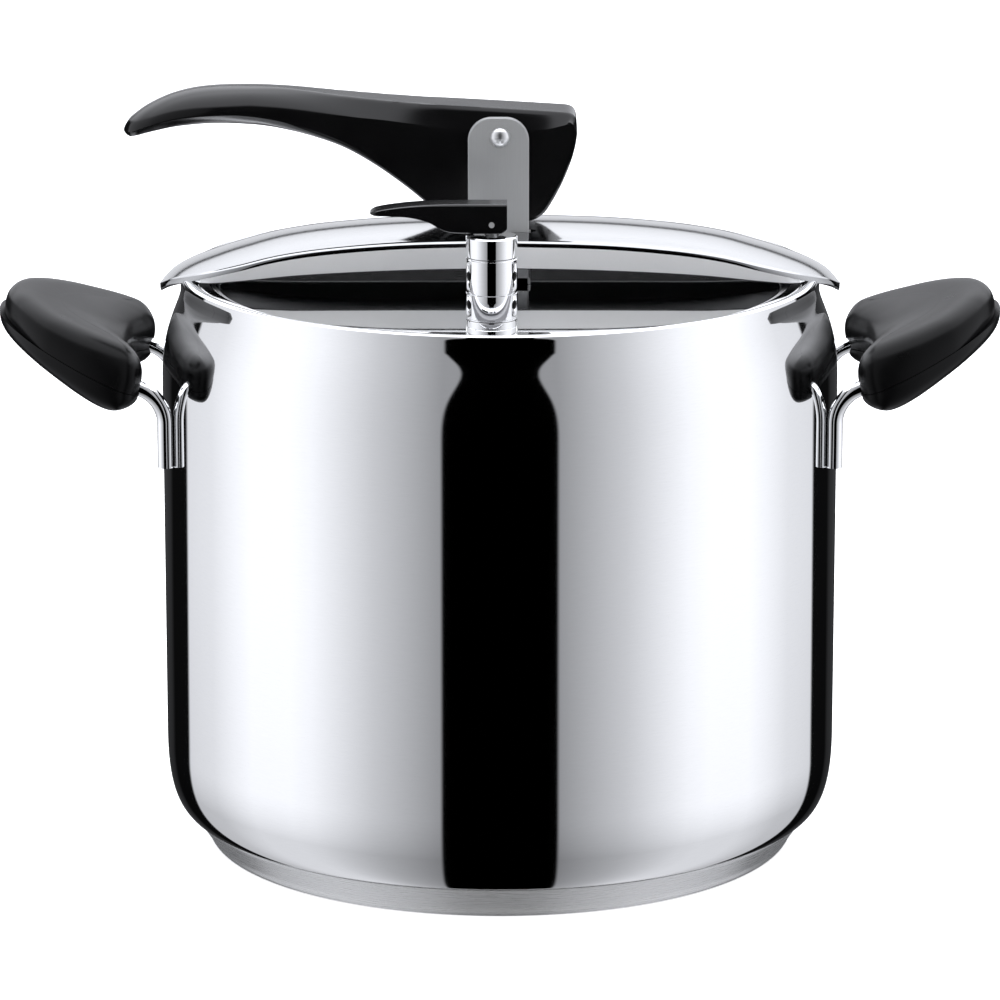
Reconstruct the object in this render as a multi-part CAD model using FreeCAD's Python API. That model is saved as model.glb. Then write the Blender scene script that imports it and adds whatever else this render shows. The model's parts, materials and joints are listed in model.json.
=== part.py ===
"""Stovetop pressure cooker with a bridge-and-lever lid, one STEP file per piece.

Millimetres. The origin is the centre of the base's underside and +Z is up. The bridge and the side
handles lie along X, the operating valve faces -Y and the safety valve is at +Y.
"""
import FreeCAD
import Part
import math
import os

from FreeCAD import Vector

# Driving dimensions of the pot.
POT_R = 110.0
WALL = 1.2
FLOOR = 1.4
BASE_TOP_Z = 11.2
BASE_TOP_R = 102.4
BASE_FOOT_R = 97.0
BASE_FOOT_Z = 3.0
BASE_FACE_R = 93.5
BASE_SKIN = 1.0
WALL_LOW_Z = 36.0
WALL_HIGH_Z = 156.0
NECK_R = 103.7
NECK_LOW_Z = 184.0
NECK_HIGH_Z = 187.6
RIM_INNER_R = 98.2
FLANGE_TOP_Z = 188.2
FLANGE_UNDER_Z = 187.0
MOUTH_X = 94.5
MOUTH_Y = 98.5
# Poles between the ends of the pot's curves, as radius, Z, outside and inside.
HEEL_POLES = [(106.5, 12.5), (POT_R, 18.0)]
SHOULDER_POLES = [(POT_R, 172.0), (104.6, 178.0)]
RIM_POLES = [(NECK_R, 190.3), (101.2, 190.0)]
INNER_SHOULDER_POLES = [(103.4, 178.0), (POT_R - WALL, 171.5)]
INNER_HEEL_POLES = [(POT_R - WALL, 18.6), (105.7, 13.6)]
INNER_FLOOR_R = 101.6

# Driving dimensions of the lid.
LID_SHEET = 1.5
LID_TOP_Z = 187.7
LID_DOME_R = 1900.0
LID_PLATEAU_R = 92.0
LID_FLANGE_X = 97.9
LID_FLANGE_Y = 101.9
LID_FLANGE_Z = 182.4
LID_CORNER_R = 2.0
VALVE_HOLE_R = 4.1
SPIGOT_R = 3.9
SPIGOT_LOW_Z = 178.0
GASKET_INSET = 0.5
GASKET_TOP_Z = 186.7
GASKET_LIP_R = 1.2
GASKET_HOLE_GAP = 0.4

# Driving dimensions of the bridge.
BRIDGE_SHEET = 1.4
BRIDGE_HALF_WIDTH = 24.0
BRIDGE_TIP_X = 110.5
BRIDGE_CROWN = 0.00434
BRIDGE_FLANGE_END_X = 99.5
BRIDGE_FLANGE_END_Z = 191.6
# Cutting blocks of the bridge start below it, stop above it and pass its sides.
BRIDGE_BELOW_Z = 150.0
BRIDGE_ABOVE_Z = 220.0
BRIDGE_ASIDE_Y = 40.0
# Height of the crown line over the middle of the bridge, as X, Z.
CROWN_LINE = [(0, 206.0), (32, 205.2), (56, 203.3), (72, 200.9), (85, 197.5),
              (94, 194.6), (102, 191.5), (107, 188.7), (110.5, 185.4)]
# Half-width of the bridge in plan, as X, Y, from the end of its parallel middle to near its tip.
TONGUE_PLAN = [(78, 24.0), (90, 22.2), (99, 18.2), (106, 12.1), (109.6, 5.6)]
# Lower edge of the turned-down flanges, as X, Z.
FLANGE_LINE = [(0, 194.5), (32, 193.8), (64, 192.2), (84, 190.2), (92, 189.2), (96, 188.8)]

# Driving dimensions of the lever and its bracket.
PIVOT_Z = 235.7
PIN_R = 2.5
BUSH_R = 4.0
# Gap of a running fit, and of a fixed one, on the radius.
RUNNING = 0.05
TIGHT = 0.01
PAST_LEVER_Y = 20.0
UPRIGHT_HALF_WIDTH = 10.1
UPRIGHT_TOP_Z = 241.6
UPRIGHT_OUTER_Y = 14.5
UPRIGHT_SHEET = 2.0
UPRIGHT_CORNER_R = 7.5
RIVET_DOME_R = 4.0
RIVET_SINK = 2.4
BRACKET_BASE_Z = 187.75
SLOT_GAP = 0.5
LEVER_HALF_WIDTH = 12.0
LEVER_REST_Z = 206.35
CAM_RELIEF_PER_DEGREE = 0.035
LEVER_FOOT_X = -12.0
LEVER_TIP = (-121.3, 0, 236.4)
# Side view of the lever as X, Z: over its top, down its back and along its underside.
LEVER_TOP_LINE = [(-117.5, 240.2), (-108, 245.4), (-93.5, 248.3), (-64.5, 248.2), (-32, 246.2)]
LEVER_BACK_LINE = [(20, 242.4), (24.3, 239.0), (24.3, 232.0), (22.9, 223.0)]
LEVER_UNDER_LINE = [(-24.6, 214.2), (-42, 227.3), (-56, 234.4), (-72, 238.6), (-90, 239.4),
                    (-106, 237.6), (-117.5, 235.4)]
# Plan view of the lever as X, half-width.
LEVER_PLAN = [(24.6, LEVER_HALF_WIDTH), (-20, LEVER_HALF_WIDTH), (-60, 13.4), (-95, 14.6),
              (-111, 11.0), (-119, 5.0), (-121.4, 0)]

# Driving dimensions of the operating valve.
VALVE_X = -2.6
VALVE_Y = -71.0
VALVE_R = 8.1
SPOT_GAP = 0.2
VALVE_BORE_R = 6.6
VALVE_SPOT_Z = 186.0
VALVE_LIP_Z = 188.4
VALVE_CAP_Z = 208.0
VALVE_TOP_Z = 214.9
VALVE_SEAT_Z = 192.0
VALVE_PIN_Z = 218.9
VALVE_LEVER_HALF_WIDTH = 5.0
VALVE_LEVER_TIP_X = -40.6
VALVE_LEVER_TOP_Z = 225.2
STEM_R = 1.7
VENT_HEIGHTS = (193.5, 202.5)
VENT_ANGLES = (-118, -62, 62, 118)
VENT_R = 1.5
NUT_ACROSS_FLATS = 12.0
NUT_HEIGHT = 3.6
NUT_DROP = 3.0
SEAL_DROP = 1.75
CROSS_PIN_R = 0.9

# Driving dimensions of the safety valve.
SAFETY_X = 0.0
SAFETY_Y = 62.0
SAFETY_SPOT_Z = 186.0
SAFETY_TOP_Z = 193.6
SAFETY_PIN_R = 1.5
SAFETY_BORE_R = 3.2
SAFETY_ACROSS_FLATS = 13.5
SAFETY_FLANGE_Z = SAFETY_SPOT_Z + 3.4
SAFETY_LEDGE_Z = 183.0
SAFETY_SHOULDER_R = 2.9
SAFETY_SHOULDER_LOW_Z = 183.3
SAFETY_SHOULDER_HIGH_Z = 184.6

# Driving dimensions of the side handles.
ROD_R = 2.5
ROD_X = 107.6
ROD_Y = 33.0
ROD_LOW_Z = 131.5
ROD_ELBOW_Z = 153.8
ROD_ELBOW_R = 12.0
ROD_LOOP_R = 9.0
ROD_RUN = 27.5
GRIP_INNER_X = 114.5
GRIP_OUTER_X = 162.6
GRIP_INNER_Z = 160.5
GRIP_OUTER_Z = 177.0
# Side view of the grip as X, Z: over its top outwards, and back along its underside.
GRIP_TOP_LINE = [(115.4, 167.4), (120, 171.0), (132, 176.4), (146, 182.4), (155, 184.8), (160.6, 183.2)]
GRIP_UNDER_LINE = [(160.8, 172.4), (152, 165.4), (141, 158.6), (129, 152.2), (121, 150.2), (115.8, 153.4)]
# Plan view of half the grip as X, Y, from the middle of its hollow inner side to its outer end.
GRIP_PLAN = [(122.4, 0), (121.0, 14), (116.4, 27), (GRIP_INNER_X, 35), (117.2, 43), (124, 45),
             (136, 42), (150, 32.5), (160, 17), (GRIP_OUTER_X, 0)]
# Cutting blocks of the grip.
GRIP_PAST_Y = 55.0
GRIP_BELOW_Z = 140.0
GRIP_ABOVE_Z = 205.0
GRIP_TILT = math.radians(25.0)
SEAM_START = (105.0, 151.3)
SEAM_END_X = 175.0
SCREW_X = 139.5
SCREW_Y = 18.0
SCREW_R = 1.5
SCREW_HEAD_R = 3.1
SCREW_HEAD_Z = 162.6
INSERT_R = 2.5
INSERT_LOW_Z = 169.6
INSERT_HIGH_Z = 174.2

X_AXIS = Vector(1, 0, 0)
Y_AXIS = Vector(0, 1, 0)
Z_AXIS = Vector(0, 0, 1)
MIDDLE = Vector(0, 0, 0)


def line(start, end):
    """Straight edge."""
    return Part.makeLine(start, end)


def bezier(*poles):
    """Smooth edge from its first to its last pole."""
    curve = Part.BezierCurve()
    curve.setPoles(list(poles))
    return curve.toShape()


def spline(points):
    """Smooth edge through the points."""
    curve = Part.BSplineCurve()
    curve.interpolate(points)
    return curve.toShape()


def face_of(edges):
    """Flat face inside the closed run of edges."""
    return Part.Face(Part.Wire(edges))


def polygon(points):
    """Flat face inside straight sides."""
    return Part.Face(Part.makePolygon(points + [points[0]]))


def revolve(face):
    """Full turn about Z."""
    return face.revolve(MIDDLE, Z_AXIS, 360)


def lathe(profile, x=0.0, y=0.0):
    """Turned solid from corners given as radius, Z, placed with its axis at x, y."""
    solid = revolve(polygon([Vector(radius, 0, z) for radius, z in profile]))
    solid.translate(Vector(x, y, 0))
    return solid


def drum(radius, low, high, x=0.0, y=0.0):
    """Upright cylinder."""
    return Part.makeCylinder(radius, high - low, Vector(x, y, low), Z_AXIS)


def ring(outer, inner, low, high, x=0.0, y=0.0):
    """Upright tube."""
    return drum(outer, low, high, x, y).cut(drum(inner, low - 1, high + 1, x, y))


def hexagon(across_flats, low, high, x, y):
    """Upright six-sided bar."""
    corner = across_flats / math.sqrt(3)
    turns = [math.radians(60 * index) for index in range(6)]
    corners = [Vector(x + corner * math.cos(turn), y + corner * math.sin(turn), low) for turn in turns]
    return polygon(corners).extrude(Vector(0, 0, high - low))


def oval(half_x, half_y, low, high):
    """Upright bar with an elliptical section that is longer along Y."""
    curve = Part.Ellipse(Vector(0, half_y, low), Vector(half_x, 0, low), Vector(0, 0, low))
    return Part.Face(Part.Wire([curve.toShape()])).extrude(Vector(0, 0, high - low))


def box(low, high):
    """Block between two opposite corners."""
    size = Vector(*high).sub(Vector(*low))
    return Part.makeBox(size.x, size.y, size.z, Vector(*low))


def pin_along_y(radius, x, z, low, high):
    """Cylinder along Y."""
    return Part.makeCylinder(radius, high - low, Vector(x, low, z), Y_AXIS)


def save(name, shape):
    """Write one piece."""
    shape.removeSplitter().exportStep("parts/" + name + ".step")


def mirrored(shape):
    """Copy on the other side of the YZ plane."""
    return shape.mirror(MIDDLE, X_AXIS)


def chain(points):
    """Edges through points given as radius, Z: a nested list holds the poles of a curved step."""
    edges = []
    start = Vector(points[0][0], 0, points[0][1])
    poles = []
    for point in points[1:]:
        if isinstance(point, list):
            poles = [Vector(radius, 0, z) for radius, z in point]
            continue
        end = Vector(point[0], 0, point[1])
        edges.append(bezier(start, *poles, end) if poles else line(start, end))
        start = end
        poles = []
    return edges


def pot_shell():
    """Deep drawn pot with a narrowed neck, a rolled rim and an oval mouth."""
    inner_r = POT_R - WALL
    neck_inner = NECK_R - WALL
    floor_z = BASE_TOP_Z + FLOOR
    hub = MOUTH_X - 14.5
    profile = [
        (0, BASE_TOP_Z), (BASE_TOP_R, BASE_TOP_Z),
        HEEL_POLES, (POT_R, WALL_LOW_Z), (POT_R, WALL_HIGH_Z),
        SHOULDER_POLES, (NECK_R, NECK_LOW_Z), (NECK_R, NECK_HIGH_Z),
        RIM_POLES, (RIM_INNER_R, FLANGE_TOP_Z), (hub, FLANGE_TOP_Z),
        (hub, FLANGE_UNDER_Z), (neck_inner, FLANGE_UNDER_Z), (neck_inner, NECK_LOW_Z),
        INNER_SHOULDER_POLES, (inner_r, WALL_HIGH_Z), (inner_r, WALL_LOW_Z),
        INNER_HEEL_POLES, (INNER_FLOOR_R, floor_z), (0, floor_z), (0, BASE_TOP_Z),
    ]
    shell = revolve(face_of(chain(profile)))
    return shell.cut(oval(MOUTH_X, MOUTH_Y, FLANGE_UNDER_Z - 1, FLANGE_TOP_Z + 1))


def base_pieces():
    """Aluminium core and the steel cap that wraps it, under the pot."""
    outer = [(0, 0), (BASE_FACE_R, 0), (BASE_FOOT_R - 1.0, 0.9), (BASE_FOOT_R, BASE_FOOT_Z),
             (BASE_TOP_R, BASE_TOP_Z), (0, BASE_TOP_Z)]
    inner = [(0, BASE_SKIN), (BASE_FACE_R, BASE_SKIN), (BASE_FOOT_R - 1.4, BASE_FOOT_Z),
             (BASE_TOP_R - 1.4, BASE_TOP_Z), (0, BASE_TOP_Z)]
    core = lathe(inner)
    cap = lathe(outer).cut(core)
    return core, cap


def lid_surface_z(radius):
    """Height of the lid's domed top at a radius."""
    return LID_TOP_Z - radius * radius / (2 * LID_DOME_R)


def lid_panel():
    """Domed plateau, a step down and the oval flange that the gasket sits on."""
    edge_r = LID_PLATEAU_R - LID_CORNER_R
    edge_z = lid_surface_z(edge_r)
    under_z = LID_TOP_Z - LID_SHEET
    edge_under_z = edge_z - LID_SHEET
    step_inner = LID_PLATEAU_R - LID_SHEET
    flange_low = LID_FLANGE_Z - LID_SHEET
    profile = [
        (0, LID_TOP_Z), [(edge_r / 2, LID_TOP_Z)], (edge_r, edge_z),
        [(LID_PLATEAU_R, edge_z)], (LID_PLATEAU_R, edge_z - LID_CORNER_R), (LID_PLATEAU_R, flange_low),
        (step_inner, flange_low), (step_inner, edge_under_z), (edge_r, edge_under_z),
        [(edge_r / 2, under_z)], (0, under_z), (0, LID_TOP_Z),
    ]
    plateau = revolve(face_of(chain(profile)))
    flange = oval(LID_FLANGE_X, LID_FLANGE_Y, flange_low, LID_FLANGE_Z)
    flange = flange.cut(drum(step_inner, flange_low - 1, LID_FLANGE_Z + 1))
    lid = plateau.fuse(flange)
    for x, y, spot_z in ((VALVE_X, VALVE_Y, VALVE_SPOT_Z), (SAFETY_X, SAFETY_Y, SAFETY_SPOT_Z)):
        lid = lid.cut(drum(VALVE_R + SPOT_GAP, spot_z, LID_TOP_Z + 1, x, y))
        lid = lid.cut(drum(VALVE_HOLE_R, spot_z - 5, spot_z + 5, x, y))
    return lid


def lid_gasket():
    """Rubber ring on the lid's flange, pressed up against the rim's flange."""
    low = LID_FLANGE_Z + 0.02
    body = oval(LID_FLANGE_X - GASKET_INSET, LID_FLANGE_Y - GASKET_INSET, low, GASKET_TOP_Z)
    crown = [edge for edge in body.Edges if edge.BoundBox.ZMin > GASKET_TOP_Z - 0.1]
    body = body.makeFillet(GASKET_LIP_R, crown)
    return body.cut(drum(LID_PLATEAU_R + GASKET_HOLE_GAP, low - 1, GASKET_TOP_Z + 1))


def under_crown(drop):
    """Everything below the bridge's crowned surface, lowered by a drop."""
    sections = []
    past_side = BRIDGE_HALF_WIDTH + 2.0
    for share in (-1.0, -0.5, 0.0, 0.5, 1.0):
        y = share * past_side
        sag = BRIDGE_CROWN * y * y + drop
        half = [Vector(x, y, z - sag) for x, z in CROWN_LINE]
        other = [Vector(-point.x, y, point.z) for point in reversed(half[1:])]
        points = other + half
        low_left = Vector(points[0].x, y, BRIDGE_BELOW_Z)
        low_right = Vector(points[-1].x, y, BRIDGE_BELOW_Z)
        edges = [spline(points), line(points[-1], low_right), line(low_right, low_left),
                 line(low_left, points[0])]
        sections.append(Part.Wire(edges))
    return Part.makeLoft(sections, True, False)


def bridge_plan(inset):
    """Upright bar with the bridge's outline in plan, drawn in by an inset."""
    low = BRIDGE_BELOW_Z
    half = []
    for x, y in TONGUE_PLAN:
        pull = inset if x > BRIDGE_FLANGE_END_X else 0.0
        half.append(Vector(x - pull, y - inset, low))
    tip = Vector(BRIDGE_TIP_X - inset, 0, low)
    half_width = BRIDGE_HALF_WIDTH - inset
    end = half + [tip] + [Vector(point.x, -point.y, low) for point in reversed(half)]
    start = half[0].x
    right = spline(end)
    left = spline([Vector(-point.x, -point.y, low) for point in end])
    back = line(Vector(-start, half_width, low), Vector(start, half_width, low))
    front = line(Vector(start, -half_width, low), Vector(-start, -half_width, low))
    return face_of([right, front, left, back]).extrude(Vector(0, 0, BRIDGE_ABOVE_Z - low))


def flange_side():
    """Block along Y that keeps the part of the turned-down sides above their lower edge."""
    y = -BRIDGE_ASIDE_Y
    half = [Vector(x, y, z) for x, z in FLANGE_LINE]
    other = [Vector(-point.x, y, point.z) for point in reversed(half[1:])]
    points = other + half
    top_right = Vector(BRIDGE_FLANGE_END_X, y, BRIDGE_ABOVE_Z)
    top_left = Vector(-top_right.x, y, top_right.z)
    end_right = Vector(BRIDGE_FLANGE_END_X, y, BRIDGE_FLANGE_END_Z)
    end_left = Vector(-end_right.x, y, end_right.z)
    side = face_of([spline(points), line(points[-1], end_right), line(end_right, top_right),
                    line(top_right, top_left), line(top_left, end_left), line(end_left, points[0])])
    return side.extrude(Vector(0, 2 * BRIDGE_ASIDE_Y, 0))


def bridge():
    """Crowned strap with turned-down sides and a tongue over the rim at each end."""
    crown = under_crown(0.0)
    plan = bridge_plan(0.0)
    sheet = crown.cut(under_crown(BRIDGE_SHEET)).common(plan)
    walls = crown.common(plan.cut(bridge_plan(BRIDGE_SHEET))).common(flange_side())
    strap = sheet.fuse(walls)
    half_slot = UPRIGHT_HALF_WIDTH + SLOT_GAP
    inner = UPRIGHT_OUTER_Y - UPRIGHT_SHEET - SLOT_GAP
    outer = UPRIGHT_OUTER_Y + SLOT_GAP
    for low_y, high_y in ((inner, outer), (-outer, -inner)):
        strap = strap.cut(box((-half_slot, low_y, LID_TOP_Z + 10), (half_slot, high_y, BRIDGE_ABOVE_Z)))
    return strap


def lever_bracket():
    """U-shaped plate on the lid: a foot and two round-topped uprights."""
    foot = box((-UPRIGHT_HALF_WIDTH, -UPRIGHT_OUTER_Y, BRACKET_BASE_Z),
               (UPRIGHT_HALF_WIDTH, UPRIGHT_OUTER_Y, BRACKET_BASE_Z + UPRIGHT_SHEET))
    shape = foot
    for side_sign in (-1, 1):
        start_y = UPRIGHT_OUTER_Y - UPRIGHT_SHEET if side_sign > 0 else -UPRIGHT_OUTER_Y
        plate = box((-UPRIGHT_HALF_WIDTH, start_y, BRACKET_BASE_Z),
                    (UPRIGHT_HALF_WIDTH, start_y + UPRIGHT_SHEET, UPRIGHT_TOP_Z))
        ends = [edge for edge in plate.Edges
                if edge.BoundBox.ZMin > UPRIGHT_TOP_Z - 1 and edge.BoundBox.XLength < 1]
        plate = plate.makeFillet(UPRIGHT_CORNER_R, ends)
        shape = shape.fuse(plate)
    return shape.cut(pin_along_y(PIN_R + TIGHT, 0, PIVOT_Z, -PAST_LEVER_Y, PAST_LEVER_Y))


def lever_pin():
    """Riveted pin with a domed head on each side."""
    shank_end = UPRIGHT_OUTER_Y + 0.05
    pin = pin_along_y(PIN_R, 0, PIVOT_Z, -shank_end, shank_end)
    for side_sign in (-1, 1):
        centre = Vector(0, side_sign * (shank_end - RIVET_SINK), PIVOT_Z)
        dome = Part.makeSphere(RIVET_DOME_R, centre)
        low = shank_end if side_sign > 0 else -shank_end - RIVET_DOME_R
        cap = box((-RIVET_DOME_R, low, PIVOT_Z - RIVET_DOME_R),
                  (RIVET_DOME_R, low + RIVET_DOME_R, PIVOT_Z + RIVET_DOME_R))
        pin = pin.fuse(dome.common(cap))
    return pin


def cam_rear():
    """Rounded rear of the lever below its pin: its reach shrinks as the lever lifts."""
    reach = PIVOT_Z - LEVER_REST_Z
    points = []
    for degrees in (0, 12, 24, 36, 48):
        turn = math.radians(degrees)
        radius = reach - CAM_RELIEF_PER_DEGREE * degrees
        points.append(Vector(radius * math.sin(turn), 0, PIVOT_Z - radius * math.cos(turn)))
    return points


def at_side(points):
    """Points of a side view given as X, Z."""
    return [Vector(x, 0, z) for x, z in points]


def lever_side_outline():
    """Side view of the main lever, with its tip at -X."""
    tip = Vector(*LEVER_TIP)
    heel = Vector(LEVER_FOOT_X, 0, LEVER_REST_Z)
    back_points = at_side(LEVER_BACK_LINE)
    rear = cam_rear()
    top = spline([tip] + at_side(LEVER_TOP_LINE) + [back_points[0]])
    back = spline(back_points + [rear[-1]])
    cam = spline(list(reversed(rear)))
    under = spline([heel] + at_side(LEVER_UNDER_LINE) + [tip])
    return face_of([top, back, cam, line(rear[0], heel), under])


def lever_plan_outline():
    """Plan view of the main lever."""
    half = [Vector(x, y, BRIDGE_ABOVE_Z - 30) for x, y in LEVER_PLAN]
    other = [Vector(point.x, -point.y, point.z) for point in half]
    edges = [line(half[0], half[1]), spline(half[1:]), spline(list(reversed(other[1:]))),
             line(other[1], other[0]), line(other[0], half[0])]
    return face_of(edges)


def main_lever():
    """Black lever with its cam, bored for the bush."""
    side = lever_side_outline()
    side.translate(Vector(0, -PAST_LEVER_Y, 0))
    blank = side.extrude(Vector(0, 2 * PAST_LEVER_Y, 0))
    plan = lever_plan_outline().extrude(Vector(0, 0, BRIDGE_ABOVE_Z - BRIDGE_BELOW_Z))
    lever = blank.common(plan)
    return lever.cut(pin_along_y(BUSH_R + TIGHT, 0, PIVOT_Z, -PAST_LEVER_Y, PAST_LEVER_Y))


def lever_bush():
    """Steel bush in the lever, running on the pin."""
    outer = pin_along_y(BUSH_R, 0, PIVOT_Z, -LEVER_HALF_WIDTH, LEVER_HALF_WIDTH)
    return outer.cut(pin_along_y(PIN_R + RUNNING, 0, PIVOT_Z, -PAST_LEVER_Y, PAST_LEVER_Y))


def vent_holes(body, heights, angles, radius):
    """Cut round holes through the wall of the operating valve."""
    for z in heights:
        for degrees in angles:
            turn = math.radians(degrees)
            outward = Vector(math.sin(turn), -math.cos(turn), 0)
            start = Vector(VALVE_X, VALVE_Y, z)
            body = body.cut(Part.makeCylinder(radius, VALVE_R + 4, start, outward))
    return body


def valve_seat():
    """Threaded spigot through the lid with a steam bore and a raised seat."""
    bore_r = 1.6
    spigot_r = SPIGOT_R
    collar_r = VALVE_BORE_R - 0.2
    collar_z = VALVE_LIP_Z + 3.0
    profile = [(bore_r, SPIGOT_LOW_Z), (spigot_r, SPIGOT_LOW_Z), (spigot_r, VALVE_SPOT_Z),
               (VALVE_R, VALVE_SPOT_Z), (VALVE_R, VALVE_LIP_Z), (collar_r, VALVE_LIP_Z),
               (collar_r, collar_z), (5.0, collar_z), (3.6, VALVE_SEAT_Z), (bore_r, VALVE_SEAT_Z)]
    return lathe(profile, VALVE_X, VALVE_Y)


def lock_nut(x, y, spot_z):
    """Hexagon nut under the lid."""
    top = spot_z - NUT_DROP
    nut = hexagon(NUT_ACROSS_FLATS, top - NUT_HEIGHT, top, x, y)
    return nut.cut(drum(SPIGOT_R + RUNNING, top - NUT_HEIGHT - 1, top + 1, x, y))


def sealing_ring(x, y, spot_z):
    """Rubber ring between the lock nut and the lid."""
    return ring(NUT_ACROSS_FLATS / 2, SPIGOT_R + RUNNING, spot_z - NUT_DROP, spot_z - SEAL_DROP, x, y)


def valve_body():
    """Ringed sleeve of the operating valve with its steam vents."""
    groove_z = 197.0
    groove_depth = 0.35
    end_step = 0.4
    low = VALVE_LIP_Z + 2 * TIGHT
    high = VALVE_CAP_Z - 2 * TIGHT
    body = ring(VALVE_R, VALVE_BORE_R, low + 0.3, high - 0.3, VALVE_X, VALVE_Y)
    body = body.fuse(ring(VALVE_R - end_step, VALVE_BORE_R, low, high, VALVE_X, VALVE_Y))
    groove = ring(VALVE_R + 1, VALVE_R - groove_depth, groove_z - 0.25, groove_z + 0.25, VALVE_X, VALVE_Y)
    return vent_holes(body.cut(groove), VENT_HEIGHTS, VENT_ANGLES, VENT_R)


def valve_cap():
    """Cap of the operating valve, with a hole for the stem."""
    stem_hole = STEM_R + RUNNING
    plug_r = VALVE_BORE_R - RUNNING
    plug_inner = VALVE_BORE_R - 1.0
    plug_z = VALVE_CAP_Z - 2.0
    roof_z = VALVE_TOP_Z - 2.4
    chamfer = 0.6
    profile = [(stem_hole, VALVE_TOP_Z), (stem_hole, roof_z), (plug_inner, roof_z), (plug_inner, plug_z),
               (plug_r, plug_z), (plug_r, VALVE_CAP_Z), (VALVE_R, VALVE_CAP_Z),
               (VALVE_R, VALVE_TOP_Z - chamfer), (VALVE_R - chamfer, VALVE_TOP_Z)]
    return lathe(profile, VALVE_X, VALVE_Y)


def coil(mean_r, wire_r, low, high, turns, x, y):
    """Round-wire compression spring standing on Z."""
    length = high - low - 2 * wire_r
    helix = Part.makeHelix(length / turns, length, mean_r)
    section = Part.Wire([Part.makeCircle(wire_r, Vector(mean_r, 0, 0), Y_AXIS)])
    spring = Part.Wire(helix).makePipeShell([section], True, True)
    spring.translate(Vector(x, y, low + wire_r))
    return spring


def valve_piston():
    """Stem with its piston, an eye at the top for the cross pin."""
    disc_r = 5.2
    disc_low = VALVE_SEAT_Z + 0.8
    disc_high = disc_low + 2.4
    eye_top = VALVE_PIN_Z + 2.0
    profile = [(0, disc_low), (disc_r, disc_low), (disc_r, disc_high), (STEM_R, disc_high),
               (STEM_R, eye_top), (0, eye_top)]
    stem = lathe(profile, VALVE_X, VALVE_Y)
    recess = ring(4.3, 2.0, disc_low - 1, disc_low + 0.6, VALVE_X, VALVE_Y)
    bore = pin_along_y(CROSS_PIN_R + TIGHT, VALVE_X, VALVE_PIN_Z, VALVE_Y - 10, VALVE_Y + 10)
    return stem.cut(recess).cut(bore)


def valve_piston_seal():
    """Rubber ring in the piston's face, over the raised seat."""
    low = VALVE_SEAT_Z + 0.3
    return ring(4.28, 2.02, low, VALVE_SEAT_Z + 1.38, VALVE_X, VALVE_Y)


def valve_lever_pin():
    """Cross pin through the stem and the valve lever."""
    reach = VALVE_LEVER_HALF_WIDTH + 0.4
    return pin_along_y(CROSS_PIN_R, VALVE_X, VALVE_PIN_Z, VALVE_Y - reach, VALVE_Y + reach)


def valve_lever():
    """Small lever that lifts the stem when it is turned up."""
    foot_z = VALVE_PIN_Z - 2.9
    heel_x = VALVE_X + 4.8
    heel_r = 2.5
    y = VALVE_Y - VALVE_LEVER_HALF_WIDTH
    diagonal = heel_r / math.sqrt(2)
    arc_start = Vector(heel_x, y, foot_z + heel_r)
    arc_middle = Vector(heel_x - heel_r + diagonal, y, foot_z + heel_r - diagonal)
    arc_end = Vector(heel_x - heel_r, y, foot_z)
    back_top = Vector(heel_x, y, VALVE_LEVER_TOP_Z)
    bend = Vector(-17.0, y, foot_z)
    tip_low = Vector(VALVE_LEVER_TIP_X + 2.0, y, 221.4)
    tip_high = Vector(VALVE_LEVER_TIP_X + 2.6, y, 223.2)
    front_top = Vector(-8.0, y, VALVE_LEVER_TOP_Z)
    edges = [
        line(back_top, arc_start),
        Part.Arc(arc_start, arc_middle, arc_end).toShape(),
        line(arc_end, bend),
        bezier(bend, Vector(-24.0, y, 220.2), Vector(-30.0, y, 221.2), tip_low),
        bezier(tip_low, Vector(VALVE_LEVER_TIP_X, y, 221.7), Vector(VALVE_LEVER_TIP_X, y, 223.0), tip_high),
        bezier(tip_high, Vector(-28.0, y, 224.6), Vector(-16.0, y, VALVE_LEVER_TOP_Z), front_top),
        line(front_top, back_top),
    ]
    lever = face_of(edges).extrude(Vector(0, 2 * VALVE_LEVER_HALF_WIDTH, 0))
    slot_half = STEM_R + 0.35
    slot = box((VALVE_X - 5.0, VALVE_Y - slot_half, foot_z - 1),
               (heel_x + 1, VALVE_Y + slot_half, VALVE_PIN_Z + 4.2))
    bore = pin_along_y(CROSS_PIN_R + RUNNING, VALVE_X, VALVE_PIN_Z, VALVE_Y - 10, VALVE_Y + 10)
    return lever.cut(slot).cut(bore)


def safety_valve_body():
    """Hexagon body with a spigot through the lid."""
    flange = hexagon(SAFETY_ACROSS_FLATS, SAFETY_SPOT_Z, SAFETY_FLANGE_Z, SAFETY_X, SAFETY_Y)
    spigot = drum(SPIGOT_R, SPIGOT_LOW_Z, SAFETY_SPOT_Z, SAFETY_X, SAFETY_Y)
    body = flange.fuse(spigot)
    body = body.cut(drum(SAFETY_PIN_R + 0.4, SPIGOT_LOW_Z - 1, SAFETY_TOP_Z, SAFETY_X, SAFETY_Y))
    return body.cut(drum(SAFETY_BORE_R, SAFETY_LEDGE_Z, SAFETY_TOP_Z, SAFETY_X, SAFETY_Y))


def safety_valve_cap():
    """Low cap that holds the spring and guides the pin."""
    pin_hole = SAFETY_PIN_R + RUNNING
    cap_r = 6.0
    chamfer = 1.5
    roof_z = SAFETY_TOP_Z - 1.4
    profile = [(pin_hole, SAFETY_TOP_Z), (pin_hole, roof_z), (SAFETY_BORE_R, roof_z),
               (SAFETY_BORE_R, SAFETY_FLANGE_Z), (cap_r, SAFETY_FLANGE_Z), (cap_r, SAFETY_TOP_Z - chamfer),
               (cap_r - chamfer, SAFETY_TOP_Z)]
    return lathe(profile, SAFETY_X, SAFETY_Y)


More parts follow.
